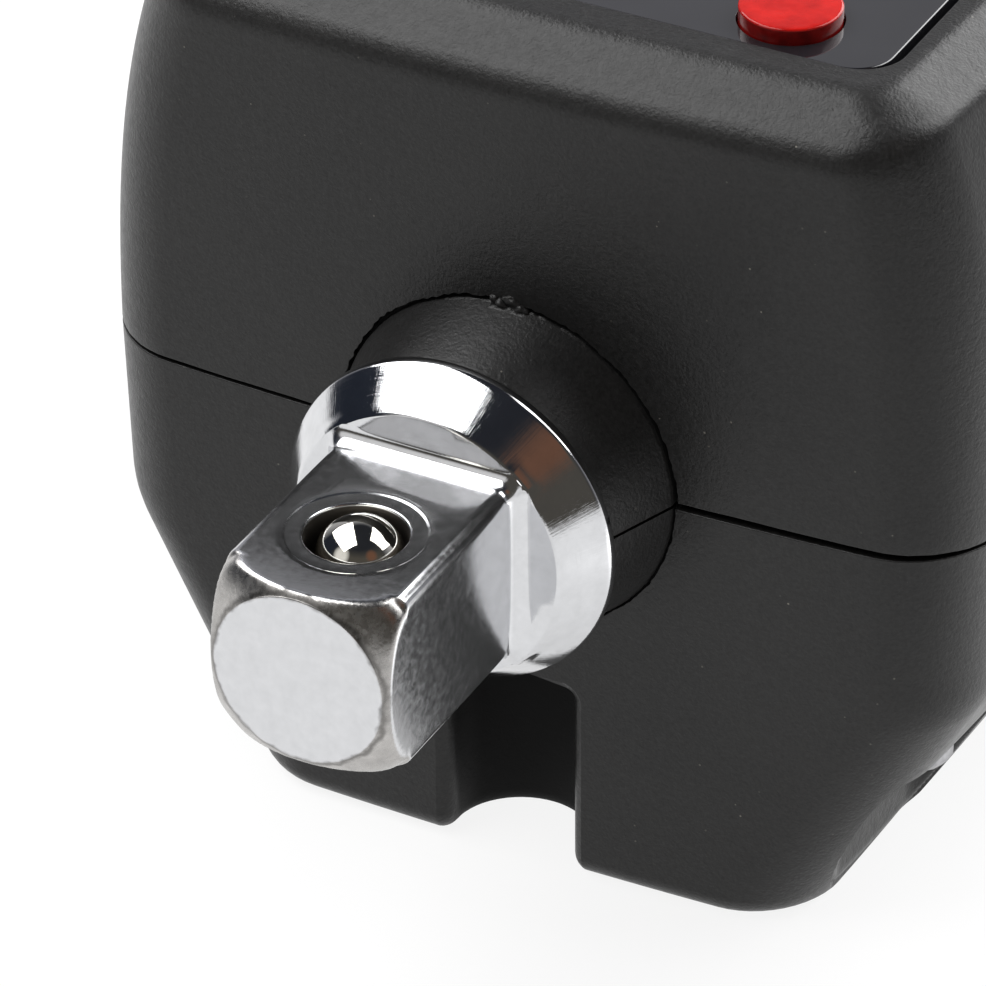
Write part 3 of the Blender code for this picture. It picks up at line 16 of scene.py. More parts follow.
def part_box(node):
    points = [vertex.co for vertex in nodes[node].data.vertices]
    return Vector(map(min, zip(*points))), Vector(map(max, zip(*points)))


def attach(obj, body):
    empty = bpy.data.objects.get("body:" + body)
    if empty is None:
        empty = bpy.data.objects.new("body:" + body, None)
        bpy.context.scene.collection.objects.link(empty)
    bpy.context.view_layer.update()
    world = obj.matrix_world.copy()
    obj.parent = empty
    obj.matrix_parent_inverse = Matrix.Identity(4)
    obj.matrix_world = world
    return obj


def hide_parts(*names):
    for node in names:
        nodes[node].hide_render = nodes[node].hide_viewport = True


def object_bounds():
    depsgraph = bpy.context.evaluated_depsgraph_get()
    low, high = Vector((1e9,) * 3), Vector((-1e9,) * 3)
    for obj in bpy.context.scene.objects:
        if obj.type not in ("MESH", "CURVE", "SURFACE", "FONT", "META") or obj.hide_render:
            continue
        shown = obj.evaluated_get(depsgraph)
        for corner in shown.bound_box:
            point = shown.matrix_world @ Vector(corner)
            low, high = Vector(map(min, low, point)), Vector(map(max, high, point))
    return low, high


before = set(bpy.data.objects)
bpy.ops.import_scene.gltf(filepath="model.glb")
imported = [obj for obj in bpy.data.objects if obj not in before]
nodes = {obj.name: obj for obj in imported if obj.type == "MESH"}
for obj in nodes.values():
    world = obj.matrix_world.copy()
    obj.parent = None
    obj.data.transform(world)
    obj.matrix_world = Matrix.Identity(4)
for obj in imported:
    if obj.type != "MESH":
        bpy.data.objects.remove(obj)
cad_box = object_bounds()

MM = 0.001
FLOOR_Z = cad_box[0][2]

# Housing.
FACE, REAR = 20.9, 80.9             # end faces, at X = 0
MID, HALF_LENGTH = (FACE + REAR) / 2, 30
HALF_WIDTH, TOP_Z, BOTTOM_Z = 25.0, 23.3, -23.7
CORNER_R = 4.6                      # corners seen from above
END_SAG = 0.95                      # how far an end face falls back at the full half width
SIDE_CROWN = 1.4                    # how much a side comes in at each end

# Drive shaft.
SQUARE_HALF, SQUARE_EDGE = 4.765, 0.7
TIP_Y, TIP_R, TIP_LENGTH = 0.06, 4.5, 1.84     # the turned chamfer round the square's tip
BALL_Y = 5.9
FLANGE_Y, FLANGE_LIP_R, FLANGE_LIP_Y = 12.7, 7.15, 12.82
SHAFT_END = 82.6


# Node-based materials.

MIX_A, MIX_B, MIX_RESULT = 6, 7, 2      # a Mix node's colour sockets


class Nodes:
    """Helpers that add nodes to a tree. A value is a node's output, a number or a colour."""

    def __init__(self, tree):
        self.tree = tree

    def feed(self, source, socket):
        if isinstance(source, bpy.types.NodeSocket):
            self.tree.links.new(source, socket)
        elif isinstance(source, tuple):
            socket.default_value = (*source, 1.0)
        else:
            socket.default_value = source

    def ramp(self, value, stops):
        """Map a value through (position, colour or grey) stops."""
        node = self.tree.nodes.new("ShaderNodeValToRGB")
        ramp = node.color_ramp
        while len(ramp.elements) < len(stops):
            ramp.elements.new(0.5)
        for element, (at, shade) in zip(ramp.elements, stops):
            element.position = at
            element.color = (*shade, 1.0) if isinstance(shade, tuple) else (shade, shade, shade, 1.0)
        self.feed(value, node.inputs["Fac"])
        return node.outputs["Color"]

    def mix(self, factor, a, b, mode="MIX"):
        node = self.tree.nodes.new("ShaderNodeMix")
        node.data_type = "RGBA"
        node.blend_type = mode
        self.feed(factor, node.inputs["Factor"])
        self.feed(a, node.inputs[MIX_A])
        self.feed(b, node.inputs[MIX_B])
        return node.outputs[MIX_RESULT]

    def math(self, operation, a, b=0.0):
        node = self.tree.nodes.new("ShaderNodeMath")
        node.operation = operation
        self.feed(a, node.inputs[0])
        self.feed(b, node.inputs[1])
        return node.outputs[0]

    def product(self, value, *factors):
        for factor in factors:
            value = self.math("MULTIPLY", value, factor)
        return value

    def inverse(self, value):
        """1 where the value is 0, and 0 where it is 1."""
        return self.math("SUBTRACT", 1.0, value)

    def distance(self, a, b):
        """How far the point (a, b) is from the origin."""
        return self.math("SQRT", self.math("ADD", self.product(a, a), self.product(b, b)))

    def smooth(self, value, low, high):
        """0 below low, 1 above high."""
        node = self.tree.nodes.new("ShaderNodeMapRange")
        node.interpolation_type = "SMOOTHSTEP"
        self.feed(value, node.inputs["Value"])
        node.inputs["From Min"].default_value = low
        node.inputs["From Max"].default_value = high
        return node.outputs["Result"]

    def band(self, value, low, high, soft):
        """1 between low and high, with soft ends."""
        rise = self.smooth(value, low - soft, low + soft)
        fall = self.smooth(value, high - soft, high + soft)
        return self.product(rise, self.inverse(fall))

    def pack(self, x, y, z):
        """One vector from three values."""
        node = self.tree.nodes.new("ShaderNodeCombineXYZ")
        for source, socket in zip((x, y, z), node.inputs):
            self.feed(source, socket)
        return node.outputs[0]


class Material(Nodes):
    """A Principled material with procedural detail, its sizes in millimetres."""

    def __init__(self, name, color, rough, metal=0.0, **inputs):
        self.mat = bpy.data.materials.new(name)
        self.mat.use_nodes = True
        super().__init__(self.mat.node_tree)
        self.shader = self.tree.nodes["Principled BSDF"]
        self.shader.inputs["Base Color"].default_value = (*color, 1.0)
        self.shader.inputs["Roughness"].default_value = rough
        self.shader.inputs["Metallic"].default_value = metal
        for key, value in inputs.items():
            self.shader.inputs[key.replace("_", " ")].default_value = value
        self.place = self.tree.nodes.new("ShaderNodeTexCoord").outputs["Object"]
        self.bump_from = None

    def axes(self):
        """Place along each axis, in millimetres."""
        node = self.tree.nodes.new("ShaderNodeSeparateXYZ")
        self.feed(self.place, node.inputs[0])
        return [self.math("MULTIPLY", out, 1 / MM) for out in node.outputs]

    def noise_at(self, place, size, detail, roughness):
        """Noise at a place of its own, with features that measure about size."""
        node = self.tree.nodes.new("ShaderNodeTexNoise")
        node.inputs["Scale"].default_value = 1.0 / (size * MM)
        node.inputs["Detail"].default_value = detail
        node.inputs["Roughness"].default_value = roughness
        self.feed(place, node.inputs["Vector"])
        return node.outputs["Fac"]

    def noise(self, size, detail=3.0, roughness=0.55):
        return self.noise_at(self.place, size, detail, roughness)

    def cells(self, size):
        """Distance to the nearest of points that lie about size apart."""
        node = self.tree.nodes.new("ShaderNodeTexVoronoi")
        node.inputs["Scale"].default_value = 1.0 / (size * MM)
        self.feed(self.place, node.inputs["Vector"])
        return node.outputs["Distance"]

    def paint(self, source):
        self.feed(source, self.shader.inputs["Base Color"])

    def gloss(self, source):
        self.feed(source, self.shader.inputs["Roughness"])

    def bump(self, height, distance):
        """Stack a bump whose full height is distance."""
        node = self.tree.nodes.new("ShaderNodeBump")
        node.inputs["Strength"].default_value = 1.0
        node.inputs["Distance"].default_value = distance * MM
        self.feed(height, node.inputs["Height"])
        if self.bump_from:
            self.feed(self.bump_from, node.inputs["Normal"])
        self.bump_from = node.outputs["Normal"]
        self.feed(self.bump_from, self.shader.inputs["Normal"])


def shell_plastic():
    """Black moulded plastic: eroded grain, soft mottling, specks of dust, and painted shade that turns the
    notch and the crease near black.
    """
    m = Material("shell_plastic", (0.013, 0.0125, 0.0125), 0.5, Specular_IOR_Level=0.29)
    x, y, z = m.axes()
    # Painted shade in the notch below the shaft. The mask does not end behind the notch, so a strip as wide
    # as the notch is also painted, along the underside and up the rear wall.
    notch = m.product(m.band(x, -3.6, 3.6, 0.7), m.smooth(y, 21.2, 22.4),
                      m.inverse(m.smooth(z, -14.5, -11.5)))
    # Painted shade in the crease's groove round the nose.
    sag = m.product(x, x, END_SAG / HALF_WIDTH ** 2)
    sunk = m.math("SUBTRACT", m.math("SUBTRACT", y, FACE), sag)
    crease = m.product(m.band(m.distance(x, z), 8.9, 9.4, 0.05), m.band(sunk, 0.08, 0.9, 0.04))
    painted_shade = m.math("MAXIMUM", notch, crease)
    broad = m.noise(9.0, 2.0)
    base = m.ramp(broad, [(0.3, (0.0095, 0.0092, 0.0092)), (0.7, (0.015, 0.0145, 0.0142))])
    grain = m.noise(0.22, 4.0, 0.6)
    base = m.mix(0.35, base, m.ramp(grain, [(0.35, 0.006), (0.68, 0.03)]))
    specks = m.ramp(m.cells(0.9), [(0.0, 1.0), (0.045, 1.0), (0.075, 0.0)])
    gate = m.ramp(m.noise(3.5, 1.0), [(0.54, 0.0), (0.66, 1.0)])
    dust = m.mix(1.0, specks, gate, "MULTIPLY")
    colour = m.mix(dust, base, (0.16, 0.15, 0.13))
    # Painted shade, near black, over the notch, the strip behind it and the crease.
    m.paint(m.mix(painted_shade, colour, (0.002, 0.002, 0.002)))
    worn = m.ramp(m.noise(0.5, 3.0), [(0.3, 0.30), (0.75, 0.40)])
    m.gloss(m.mix(painted_shade, worn, (0.85, 0.85, 0.85)))
    m.bump(m.noise(0.17, 3.0, 0.6), 0.026)
    m.bump(m.noise(0.5, 2.0), 0.020)
    return m.mat


def chrome():
    """Chromed steel: polished flange with radial marks, satin square, coarser tip chamfer, and painted shade
    in the ball's hole.
    """
    tint = (0.67, 0.675, 0.69)
    m = Material("chrome", tint, 0.08, 1.0)
    x, y, z = m.axes()
    # The turned chamfer, whose radius at each Y is nearly that of square_rings.
    far = m.distance(x, z)
    along = m.math("DIVIDE", m.math("SUBTRACT", y, TIP_Y), TIP_LENGTH)
    swell = m.math("SINE", m.product(m.math("MINIMUM", along, 1.0), math.pi))
    tip_radius = m.math("ADD", m.product(along, 1.769), m.product(swell, 0.418))
    tip = m.smooth(m.math("SUBTRACT", far, m.math("ADD", tip_radius, TIP_R)), -0.16, -0.04)
    tip = m.product(tip, m.inverse(m.smooth(y, 2.0, 2.3)), m.smooth(y, 0.01, 0.04))
    # A dark ragged line round the edge of the end face.
    ragged = m.math("ADD", far, m.product(m.math("SUBTRACT", m.noise(0.8, 2.0, 0.5), 0.5), 0.6))
    rim = m.product(m.band(ragged, 4.44, 4.70, 0.14), m.inverse(m.smooth(y, 0.35, 0.6)))
    flange = m.smooth(y, 12.3, 12.7)
    patch = m.ramp(m.noise(0.9, 4.0, 0.65), [(0.3, 0.0), (0.75, 1.0)])
    clean = m.mix(patch, tint, tuple(c * 0.90 for c in tint))
    coarse = m.mix(patch, (0.50, 0.485, 0.47), (0.34, 0.33, 0.32))
    # Painted shade, near black, in the ball's hole below its rim.
    well = m.distance(x, m.math("SUBTRACT", y, BALL_Y))
    well_shade = m.product(m.inverse(m.smooth(well, 2.50, 2.56)), m.inverse(m.smooth(z, 4.58, 4.64)),
                     m.smooth(z, 1.0, 2.0))
    worn = m.mix(m.product(rim, 0.75), m.mix(tip, clean, coarse), (0.12, 0.115, 0.11))
    # Painted shade in the ball's hole, over the rest of the finish.
    m.paint(m.mix(well_shade, worn, (0.05, 0.045, 0.04)))
    fine = m.noise(0.35, 4.0, 0.65)
    satin = m.ramp(fine, [(0.3, 0.13), (0.8, 0.24)])
    bright = m.ramp(fine, [(0.3, 0.05), (0.8, 0.10)])
    rough = m.ramp(fine, [(0.3, 0.20), (0.8, 0.38)])
    gloss = m.mix(tip, m.mix(flange, satin, bright), rough)
    m.gloss(m.mix(well_shade, gloss, (0.5, 0.5, 0.5)))
    # Radial marks on the flange and turned grooves in patches of its cone.
    turn = m.math("ARCTAN2", z, x)
    rays = m.pack(m.product(turn, 0.0087), m.product(y, 0.04 * MM), 0.0)
    m.bump(m.product(m.noise_at(rays, 0.09, 3.0, 0.7), flange), 0.004)
    groove = m.noise_at(m.pack(0.0, m.product(y, MM), 0.0), 0.12, 3.0, 0.6)
    where = m.product(m.band(y, 12.9, 14.8, 0.15), m.ramp(m.noise(4.0, 1.0), [(0.45, 0.0), (0.6, 1.0)]))
    m.bump(m.product(groove, where), 0.006)
    m.bump(m.noise(0.7, 3.0, 0.6), 0.0022)
    m.bump(m.product(m.noise(0.18, 3.0, 0.6), tip), 0.006)
    return m.mat


def ball_steel():
    """Hardened ball, nearly a mirror."""
    m = Material("ball_steel", (0.74, 0.72, 0.66), 0.05, 1.0)
    m.paint(m.ramp(m.noise(0.8, 3.0), [(0.3, (0.76, 0.74, 0.68)), (0.7, (0.68, 0.66, 0.60))]))
    m.gloss(m.ramp(m.noise(0.3, 3.0), [(0.3, 0.03), (0.8, 0.08)]))
    m.bump(m.noise(0.3, 3.0), 0.0008)
    return m.mat


def speckled(name, color, rough, metal, size, depth=0.006, spread=0.25):
    """A general finish: colour, gloss and height that all vary a little."""
    m = Material(name, color, rough, metal)
    low = tuple(c * (1 - spread) for c in color)
    high = tuple(min(1.0, c * (1 + spread)) for c in color)
    m.paint(m.ramp(m.noise(size * 3, 3.0), [(0.3, low), (0.7, high)]))
    m.gloss(m.ramp(m.noise(size, 3.0), [(0.3, rough * 0.8), (0.75, min(1.0, rough * 1.25))]))
    m.bump(m.noise(size * 0.5, 3.0), depth)
    return m.mat


def panel_gloss():
    """Black gloss plate with a faint haze."""
    m = Material("panel_gloss", (0.012, 0.012, 0.014), 0.03, IOR=1.85)
    m.paint(m.ramp(m.noise(6.0, 2.0), [(0.3, (0.010, 0.010, 0.012)), (0.7, (0.015, 0.015, 0.018))]))
    m.gloss(m.ramp(m.noise(0.8, 4.0), [(0.3, 0.02), (0.8, 0.045)]))
    m.bump(m.noise(2.5, 2.0), 0.0006)
    return m.mat


def button_red():
    """Tinted red plastic, glossy on top; the top is painted brighter as lit and the wall darker as painted
    shade.
    """
    m = Material("button_red", (0.55, 0.008, 0.006), 0.08, IOR=1.5, Specular_IOR_Level=0.28)
    # Lit and shaded copies of the red: a brighter top, and a wall painted darker as shade.
    top = m.ramp(m.noise(1.2, 2.0), [(0.3, (0.30, 0.004, 0.003)), (0.7, (0.44, 0.010, 0.007))])
    shaded_wall = m.ramp(m.noise(0.7, 2.0), [(0.35, (0.10, 0.003, 0.003)), (0.7, (0.20, 0.006, 0.005))])
    _, _, z = m.axes()
    above = m.smooth(z, 23.70, 23.80)
    # Painted shade: the wall below the top's rounded edge is darker than the top.
    m.paint(m.mix(above, shaded_wall, top))
    m.gloss(m.mix(above, m.ramp(m.noise(0.4, 3.0), [(0.3, 0.18), (0.8, 0.30)]),
                  m.ramp(m.noise(0.4, 3.0), [(0.3, 0.06), (0.8, 0.16)])))
    m.bump(m.noise(1.1, 2.0), 0.035)
    return m.mat


SHELL = shell_plastic()
CHROME = chrome()
BALL = ball_steel()
PANEL = panel_gloss()
RED = button_red()


# Fine forms, from the same dimensions as the solids.

def arc(cx, cy, r, start, end, steps):
    """Points of an arc, from start to end in degrees."""
    turn = [math.radians(start + (end - start) * k / steps) for k in range(steps + 1)]
    return [(cx + r * math.cos(a), cy + r * math.sin(a)) for a in turn]


def round_path(points, radii, steps):
    """Replace each inner corner of an open path with a tangent arc."""
    path = [Vector(points[0])]
    for before, corner, after, radius in zip(points, points[1:], points[2:], radii):
        corner = Vector(corner)
        a = (Vector(before) - corner).normalized()
        b = (Vector(after) - corner).normalized()
        half = a.angle(b) / 2
        centre = corner + (a + b).normalized() * (radius / math.sin(half))
        start = corner + a * radius / math.tan(half) - centre
        end = corner + b * radius / math.tan(half) - centre
        path += [centre + start.lerp(end, k / steps).normalized() * radius for k in range(steps + 1)]
    path.append(Vector(points[-1]))
    return path


def at_height(path, z):
    """The path's first coordinate where its second is z."""
    rising = path[-1].y > path[0].y
    for low, high in zip(path, path[1:]):
        inside = low.y <= z <= high.y if rising else high.y <= z <= low.y
        if inside and abs(high.y - low.y) > 1e-9:
            return low.x + (high.x - low.x) * (z - low.y) / (high.y - low.y)
    return path[-1].x if (z >= path[-1].y) == rising else path[0].x


SKIN_HALF = 24.997                  # a hair inside the CAD box
BARREL_TOP, BAND_INNER = 22.1, 18.7     # where the sloping band round the top starts, and where it ends
BARREL_IN, BARREL_AT, BARREL_POWER = 3.0, 21, 2.6     # the side has come in 3 mm at 21 mm height


def side_path(upper):
    """Half the section across a shell, (half width, Z) from the parting plane on."""
    if upper:
        barrel = [(SKIN_HALF - BARREL_IN * (BARREL_TOP / BARREL_AT * k / 24) ** BARREL_POWER,
                   BARREL_TOP * k / 24) for k in range(25)]
        top = [(BAND_INNER, TOP_Z), (BAND_INNER - 3.3, TOP_Z)]
        soft = round_path(barrel[-2:] + top, (1.5, 1.9), 12)
        return [Vector(p) for p in barrel[:-2]] + soft[:-1]
    corners = [(SKIN_HALF, 0.0), (24.6, -9.6), (16.3, BOTTOM_Z), (8.0, BOTTOM_Z)]
    return round_path(corners, (5.0, 1.3), 12)[:-1]


def end_path(upper):
    """The section along a shell, (distance in from the end face, Z) from the parting plane on."""
    if upper:
        return round_path([(0, 0), (0, 21.0), (3.0, TOP_Z), (6.0, TOP_Z)], (2.1, 2.0), 12)[:-1]
    return round_path([(0, 0), (0, BOTTOM_Z), (15.0, BOTTOM_Z)], (1.3,), 12)[:-1]


def body_ring(half, inset, corner, z, steps=12, face=32):
    """The body's outline at one height: a rounded rectangle with bowed sides and ends."""
    low, high = FACE + inset, REAR - inset
    points = []
    for sx, sy, start in ((1, -1, -90), (1, 1, 0), (-1, 1, 90), (-1, -1, 180)):
        cy = low + corner if sy < 0 else high - corner
        bend = arc(sx * (half - corner), cy, corner, start, start + 90, steps)
        points += bend
        ex, ey = bend[-1]
        for k in range(1, face):
            if sx == sy:
                points.append((ex * (1 - 2 * k / face), ey))
            else:
                points.append((ex, ey + (low + high - 2 * ey) * k / face))
    ring = []
    for x, y in points:
        sag = END_SAG * (x / HALF_WIDTH) ** 2
        crown = 1 - SIDE_CROWN / HALF_WIDTH * ((y - MID) / HALF_LENGTH) ** 2
        ring.append((x * crown, MID + (y - MID) * (1 - sag / HALF_LENGTH), z))
    return ring


def body_rings(upper, levels):
    """Outlines at (height, extra inset) levels."""
    sides, ends = side_path(upper), end_path(upper)
    rings = []
    for z, more in levels:
        end = at_height(ends, z)
        corner = max(CORNER_R - (0.9 if upper else 0.5) * end, 1.8 if upper else 2.3) - more
        rings.append(body_ring(at_height(sides, z) - more, end + more, corner, z))
    return rings


def body_levels(upper, limit):
    """Levels of the rings up to limit, each with no extra inset."""
    paths = {round(p.y, 4) for p in side_path(upper) + end_path(upper)}
    paths |= {math.copysign(1.4 * k, limit) for k in range(1, 18)}
    heights = sorted((z for z in paths if 0.4 < abs(z) < abs(limit) - 0.02), key=abs)
    kept = heights[:1]
    for z in heights[1:]:
        if abs(z - kept[-1]) > 0.02:
            kept.append(z)
    return [(z, 0.0) for z in kept] + [(limit, 0.0)]


# Mesh helpers.

def mesh_from(name, bm, mat=None):
    bmesh.ops.recalc_face_normals(bm, faces=bm.faces)
    data = bpy.data.meshes.new(name)
    bm.to_mesh(data)
    bm.free()
    obj = bpy.data.objects.new(name, data)
    bpy.context.scene.collection.objects.link(obj)
    if mat:
        data.materials.append(mat)
    return obj


def skin(bm, rings, closed=False):
    """Bridge rings of points. A ring of one point is a pole."""
    loops = [[bm.verts.new(Vector(p) * MM) for p in ring] for ring in rings]
    pairs = list(zip(loops, loops[1:]))
    if closed:
        pairs.append((loops[-1], loops[0]))
    for low, high in pairs:
        count = max(len(low), len(high))
        for i in range(count):
            j = (i + 1) % count
            corners = [low[i % len(low)], low[j % len(low)], high[j % len(high)], high[i % len(high)]]
            corners = list(dict.fromkeys(corners))
            if len(corners) > 2:
                bm.faces.new(corners)
    if not closed:
        for loop in (loops[0], loops[-1]):
            if len(loop) > 2:
                bm.faces.new(loop)
    return bm


def strip(bm, rows):
    """Bridge open rows of points."""
    lines = [[bm.verts.new(Vector(p) * MM) for p in row] for row in rows]
    for low, high in zip(lines, lines[1:]):
        for i in range(len(low) - 1):
            bm.faces.new((low[i], low[i + 1], high[i + 1], high[i]))
    return bm


def loft(name, rings, mat=None, closed=False):
    return mesh_from(name, skin(bmesh.new(), rings, closed), mat)


def turn_rings(profile, axis, centre, steps, phase=0.0):
    """Rings of a turned form from (radius, height) points."""
    rings = []
    for r, h in profile:
        ring = []
        for k in range(1 if r == 0 else steps):
            a = 2 * math.pi * (k + phase) / steps
            u, v = r * math.cos(a), r * math.sin(a)
            p = Vector((u, h, v)) if axis == "Y" else Vector((u, v, h))
            ring.append(p + Vector(centre))
        rings.append(ring)
    return rings


def turned(name, profile, centre, steps, mat=None):
    """A solid turned about a vertical axis."""
    return loft(name, turn_rings(profile, "Z", centre, steps), mat)


def block(x, y, z):
    """Rings of a box between two values on each axis."""
    return [[(x[0], y[0], h), (x[1], y[0], h), (x[1], y[1], h), (x[0], y[1], h)] for h in z]


def joined(name, groups):
    """One object from several separate lofts."""
    bm = bmesh.new()
    for rings in groups:
        skin(bm, rings)
    return mesh_from(name, bm)


def combine(obj, tool, operation="DIFFERENCE"):
    """Apply an exact Boolean and delete the tool."""
    modifier = obj.modifiers.new("cut", "BOOLEAN")
    modifier.operation = operation
    modifier.solver = "EXACT"
    modifier.object = tool
    graph = bpy.context.evaluated_depsgraph_get()
    data = bpy.data.meshes.new_from_object(obj.evaluated_get(graph))
    old = obj.data
    obj.modifiers.clear()
    obj.data = data
    bpy.data.meshes.remove(old)
    bpy.data.objects.remove(tool, do_unlink=True)


def surface_tree(obj):
    bm = bmesh.new()
    bm.from_mesh(obj.data)
    tree = BVHTree.FromBMesh(bm)
    bm.free()
    return tree


def flare(tool, tree, radius):
    """Widen a cutter where it passes through a surface, so that its edges come out round."""
    data = tool.data
    normals = [v.normal.copy() for v in data.vertices]
    r = radius * MM
    for vert, normal in zip(data.vertices, normals):
        place, out, _, distance = tree.find_nearest(vert.co)
        depth = distance if (vert.co - place).dot(out) < 0 else -distance
        depth = max(depth + 0.02 * r, 0.0)
        if depth < r:
            vert.co += normal * (r - math.sqrt(r * r - (r - depth) ** 2))
    return tool


def smooth(obj, angle=35, weight=0):
    """Smooth shading with sharp creases, and normals led by the larger faces."""
    obj.data.shade_smooth()
    obj.data.set_sharp_from_angle(angle=math.radians(angle))
    if weight:
        modifier = obj.modifiers.new("weight", "WEIGHTED_NORMAL")
        modifier.keep_sharp = True
        modifier.weight = weight


def cad_copy(node):
    """The CAD node's own mesh as a closed solid."""
    bm = bmesh.new()
    bm.from_mesh(nodes[node].data)
    bm.transform(nodes[node].matrix_world)
    bmesh.ops.remove_doubles(bm, verts=bm.verts, dist=1e-7)
    return mesh_from(f"{node}_inside", bm)


def finish_piece(obj, node, body):
    """Put a finer mesh in a CAD node's place."""
    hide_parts(node)
    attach(obj, body)


# Shells: fine outer skin, with the inside of the CAD solid.

PART, PART_R = 0.08, 0.07       # parting plane to each shell's edge, and the edge's radius


def rounded_slot(x, y, r, steps=16):
    """A rectangle with rounded corners between two values on each axis."""
    pts = []
    for cx, cy, start in ((x[1] - r, y[0] + r, -90), (x[1] - r, y[1] - r, 0),
                          (x[0] + r, y[1] - r, 90), (x[0] + r, y[0] + r, 180)):
        pts += arc(cx, cy, r, start, start + 90, steps)
    return pts


def resample(points, pitch):
    """A closed outline with no step longer than pitch."""
    out = []
    for a, b in zip(points, points[1:] + points[:1]):
        a, b = Vector(a), Vector(b)
        count = max(1, math.ceil((b - a).length / pitch))
        out += [tuple(a.lerp(b, k / count)) for k in range(count)]
    return out


def prism_rings(outline, levels):
    return [[(x, y, z) for x, y in outline] for z in levels]


def spread(low, high, pitch):
    """Even steps from low to high, none longer than pitch."""
    count = max(1, math.ceil(abs(high - low) / pitch))
    return [low + (high - low) * k / count for k in range(count + 1)]


# Each ring starts this part of a step further round, so that no two edges coincide in a Boolean.
NOSE_PHASE, CREASE_PHASE = 0.41, 0.37


def nose_profile():
    """A cone with a rounded front lip, (radius, Y) from the axis outward."""
    mouth, lip, lip_y = 7.02, 0.2, 16.1
    profile = [(mouth, 15.9)]
    for k in range(1, 5):
        a = math.radians(18 * k)
        profile.append((mouth + lip * math.sin(a), lip_y - lip * math.cos(a)))
    for k in range(1, 15):
        t = k / 14
        profile.append((7.24 + 1.70 * t, 16.14 + 4.70 * t))
    profile += [(9.1, 21.3), (9.1, 22.0)]
    return profile


def crease_rings(radius, half, depth, seed, steps=540):
    """A ragged groove round the nose where the mould insert ends."""
    rings = []
    for k in range(steps):
        a = 2 * math.pi * (k + CREASE_PHASE) / steps
        at = Vector((math.cos(a), math.sin(a), 0))
        rough = noise.noise(at * 5 + Vector((seed, 0, 0)))
        fine = noise.noise(at * 24 + Vector((0, seed, 3)))
        r = radius + 0.03 * rough + 0.02 * fine
        w = half * max(1 + 0.7 * rough + 0.8 * fine, 0.35)
        face = FACE + END_SAG * (r * math.cos(a) / HALF_WIDTH) ** 2
        section = ((r - half, face - 0.8), (r + w, face - 0.8), (r + w, face),
                   (r + 0.6 * w, face + depth), (r - half, face + depth))
        rings.append([(q * math.cos(a), y, q * math.sin(a)) for q, y in section])
    return rings


def lump(centre, size, turn, seed):
    """A small rough blob, sizes as half axes."""
    rings = []
    for j in range(13):
        lat = math.radians(-90 + 15 * j)
        ring = []
        for k in range(1 if j in (0, 12) else 24):
            lon = math.radians(15 * k)
            d = Vector((math.cos(lat) * math.cos(lon), math.cos(lat) * math.sin(lon), math.sin(lat)))
            grow = 1 + 0.35 * noise.noise(d * 1.7 + Vector((seed, 0, 0)))
            p = Vector([c * h * grow for c, h in zip(d, size)])
            ring.append(Matrix.Rotation(turn, 3, "Y") @ p + Vector(centre))
        rings.append(ring)
    return rings


# Bits of flash: degrees from FLASH_AT, distance from the axis, half axes, seed.
FLASH_AT = math.radians(88.5)
FLASH_BITS = ((-4.2, 8.98, (0.44, 0.22, 0.22), 1.0), (-1.0, 9.2, (0.52, 0.18, 0.26), 4.0),
              (2.2, 8.95, (0.40, 0.26, 0.24), 9.0), (4.6, 9.1, (0.36, 0.18, 0.2), 12.0))


def add_flash(shell):
    """The torn bit of flash that sits on the crease above the shaft."""
    face = FACE - 0.02
    for k, (da, r, size, seed) in enumerate(FLASH_BITS):
        a = FLASH_AT + math.radians(da)
        place = (r * math.cos(a), face, r * math.sin(a))
        combine(shell, loft("lump", lump(place, size, -a + math.pi / 2 + 0.3 * k, seed)), "UNION")


def shell_blank(name, upper):
    """The outer form of one shell with its rounded parting edge."""
    sign = 1 if upper else -1
    # A step 1.1 mm further in reaches past the parting plane, behind the gap.
    levels = [(-1.5, 1.1), (PART, 1.1)] if upper else []
    for k in range(5):
        a = math.radians(90 * k / 4)
        levels.append((sign * (PART + PART_R * (1 - math.cos(a))), PART_R * (1 - math.sin(a))))
    levels += body_levels(upper, TOP_Z if upper else BOTTOM_Z)
    rings = body_rings(upper, levels)
    first = 2 if upper else 0
    for ring in rings[first:first + 5]:
        ring[:] = [(x, y, z + sign * parting_gap(x, y, upper)) for x, y, z in ring]
    return loft(name, rings)


def parting_gap(x, y, upper):
    """What a torn edge adds to the gap at the parting plane, most to the right in front."""
    front = max(0.0, min(1.0, (24 - y) / 3))
    right = max(0.0, min(1.0, (x - 4) / 6))
    torn = noise.noise(Vector((x * 1.6, y * 1.6, 5))) + 0.6 * noise.noise(Vector((x * 5, y * 5, 9)))
    if not upper:
        return 0.02 + 0.05 * front * right
    return max(0.0, 0.02 + 0.14 * front * right + 0.035 * torn)


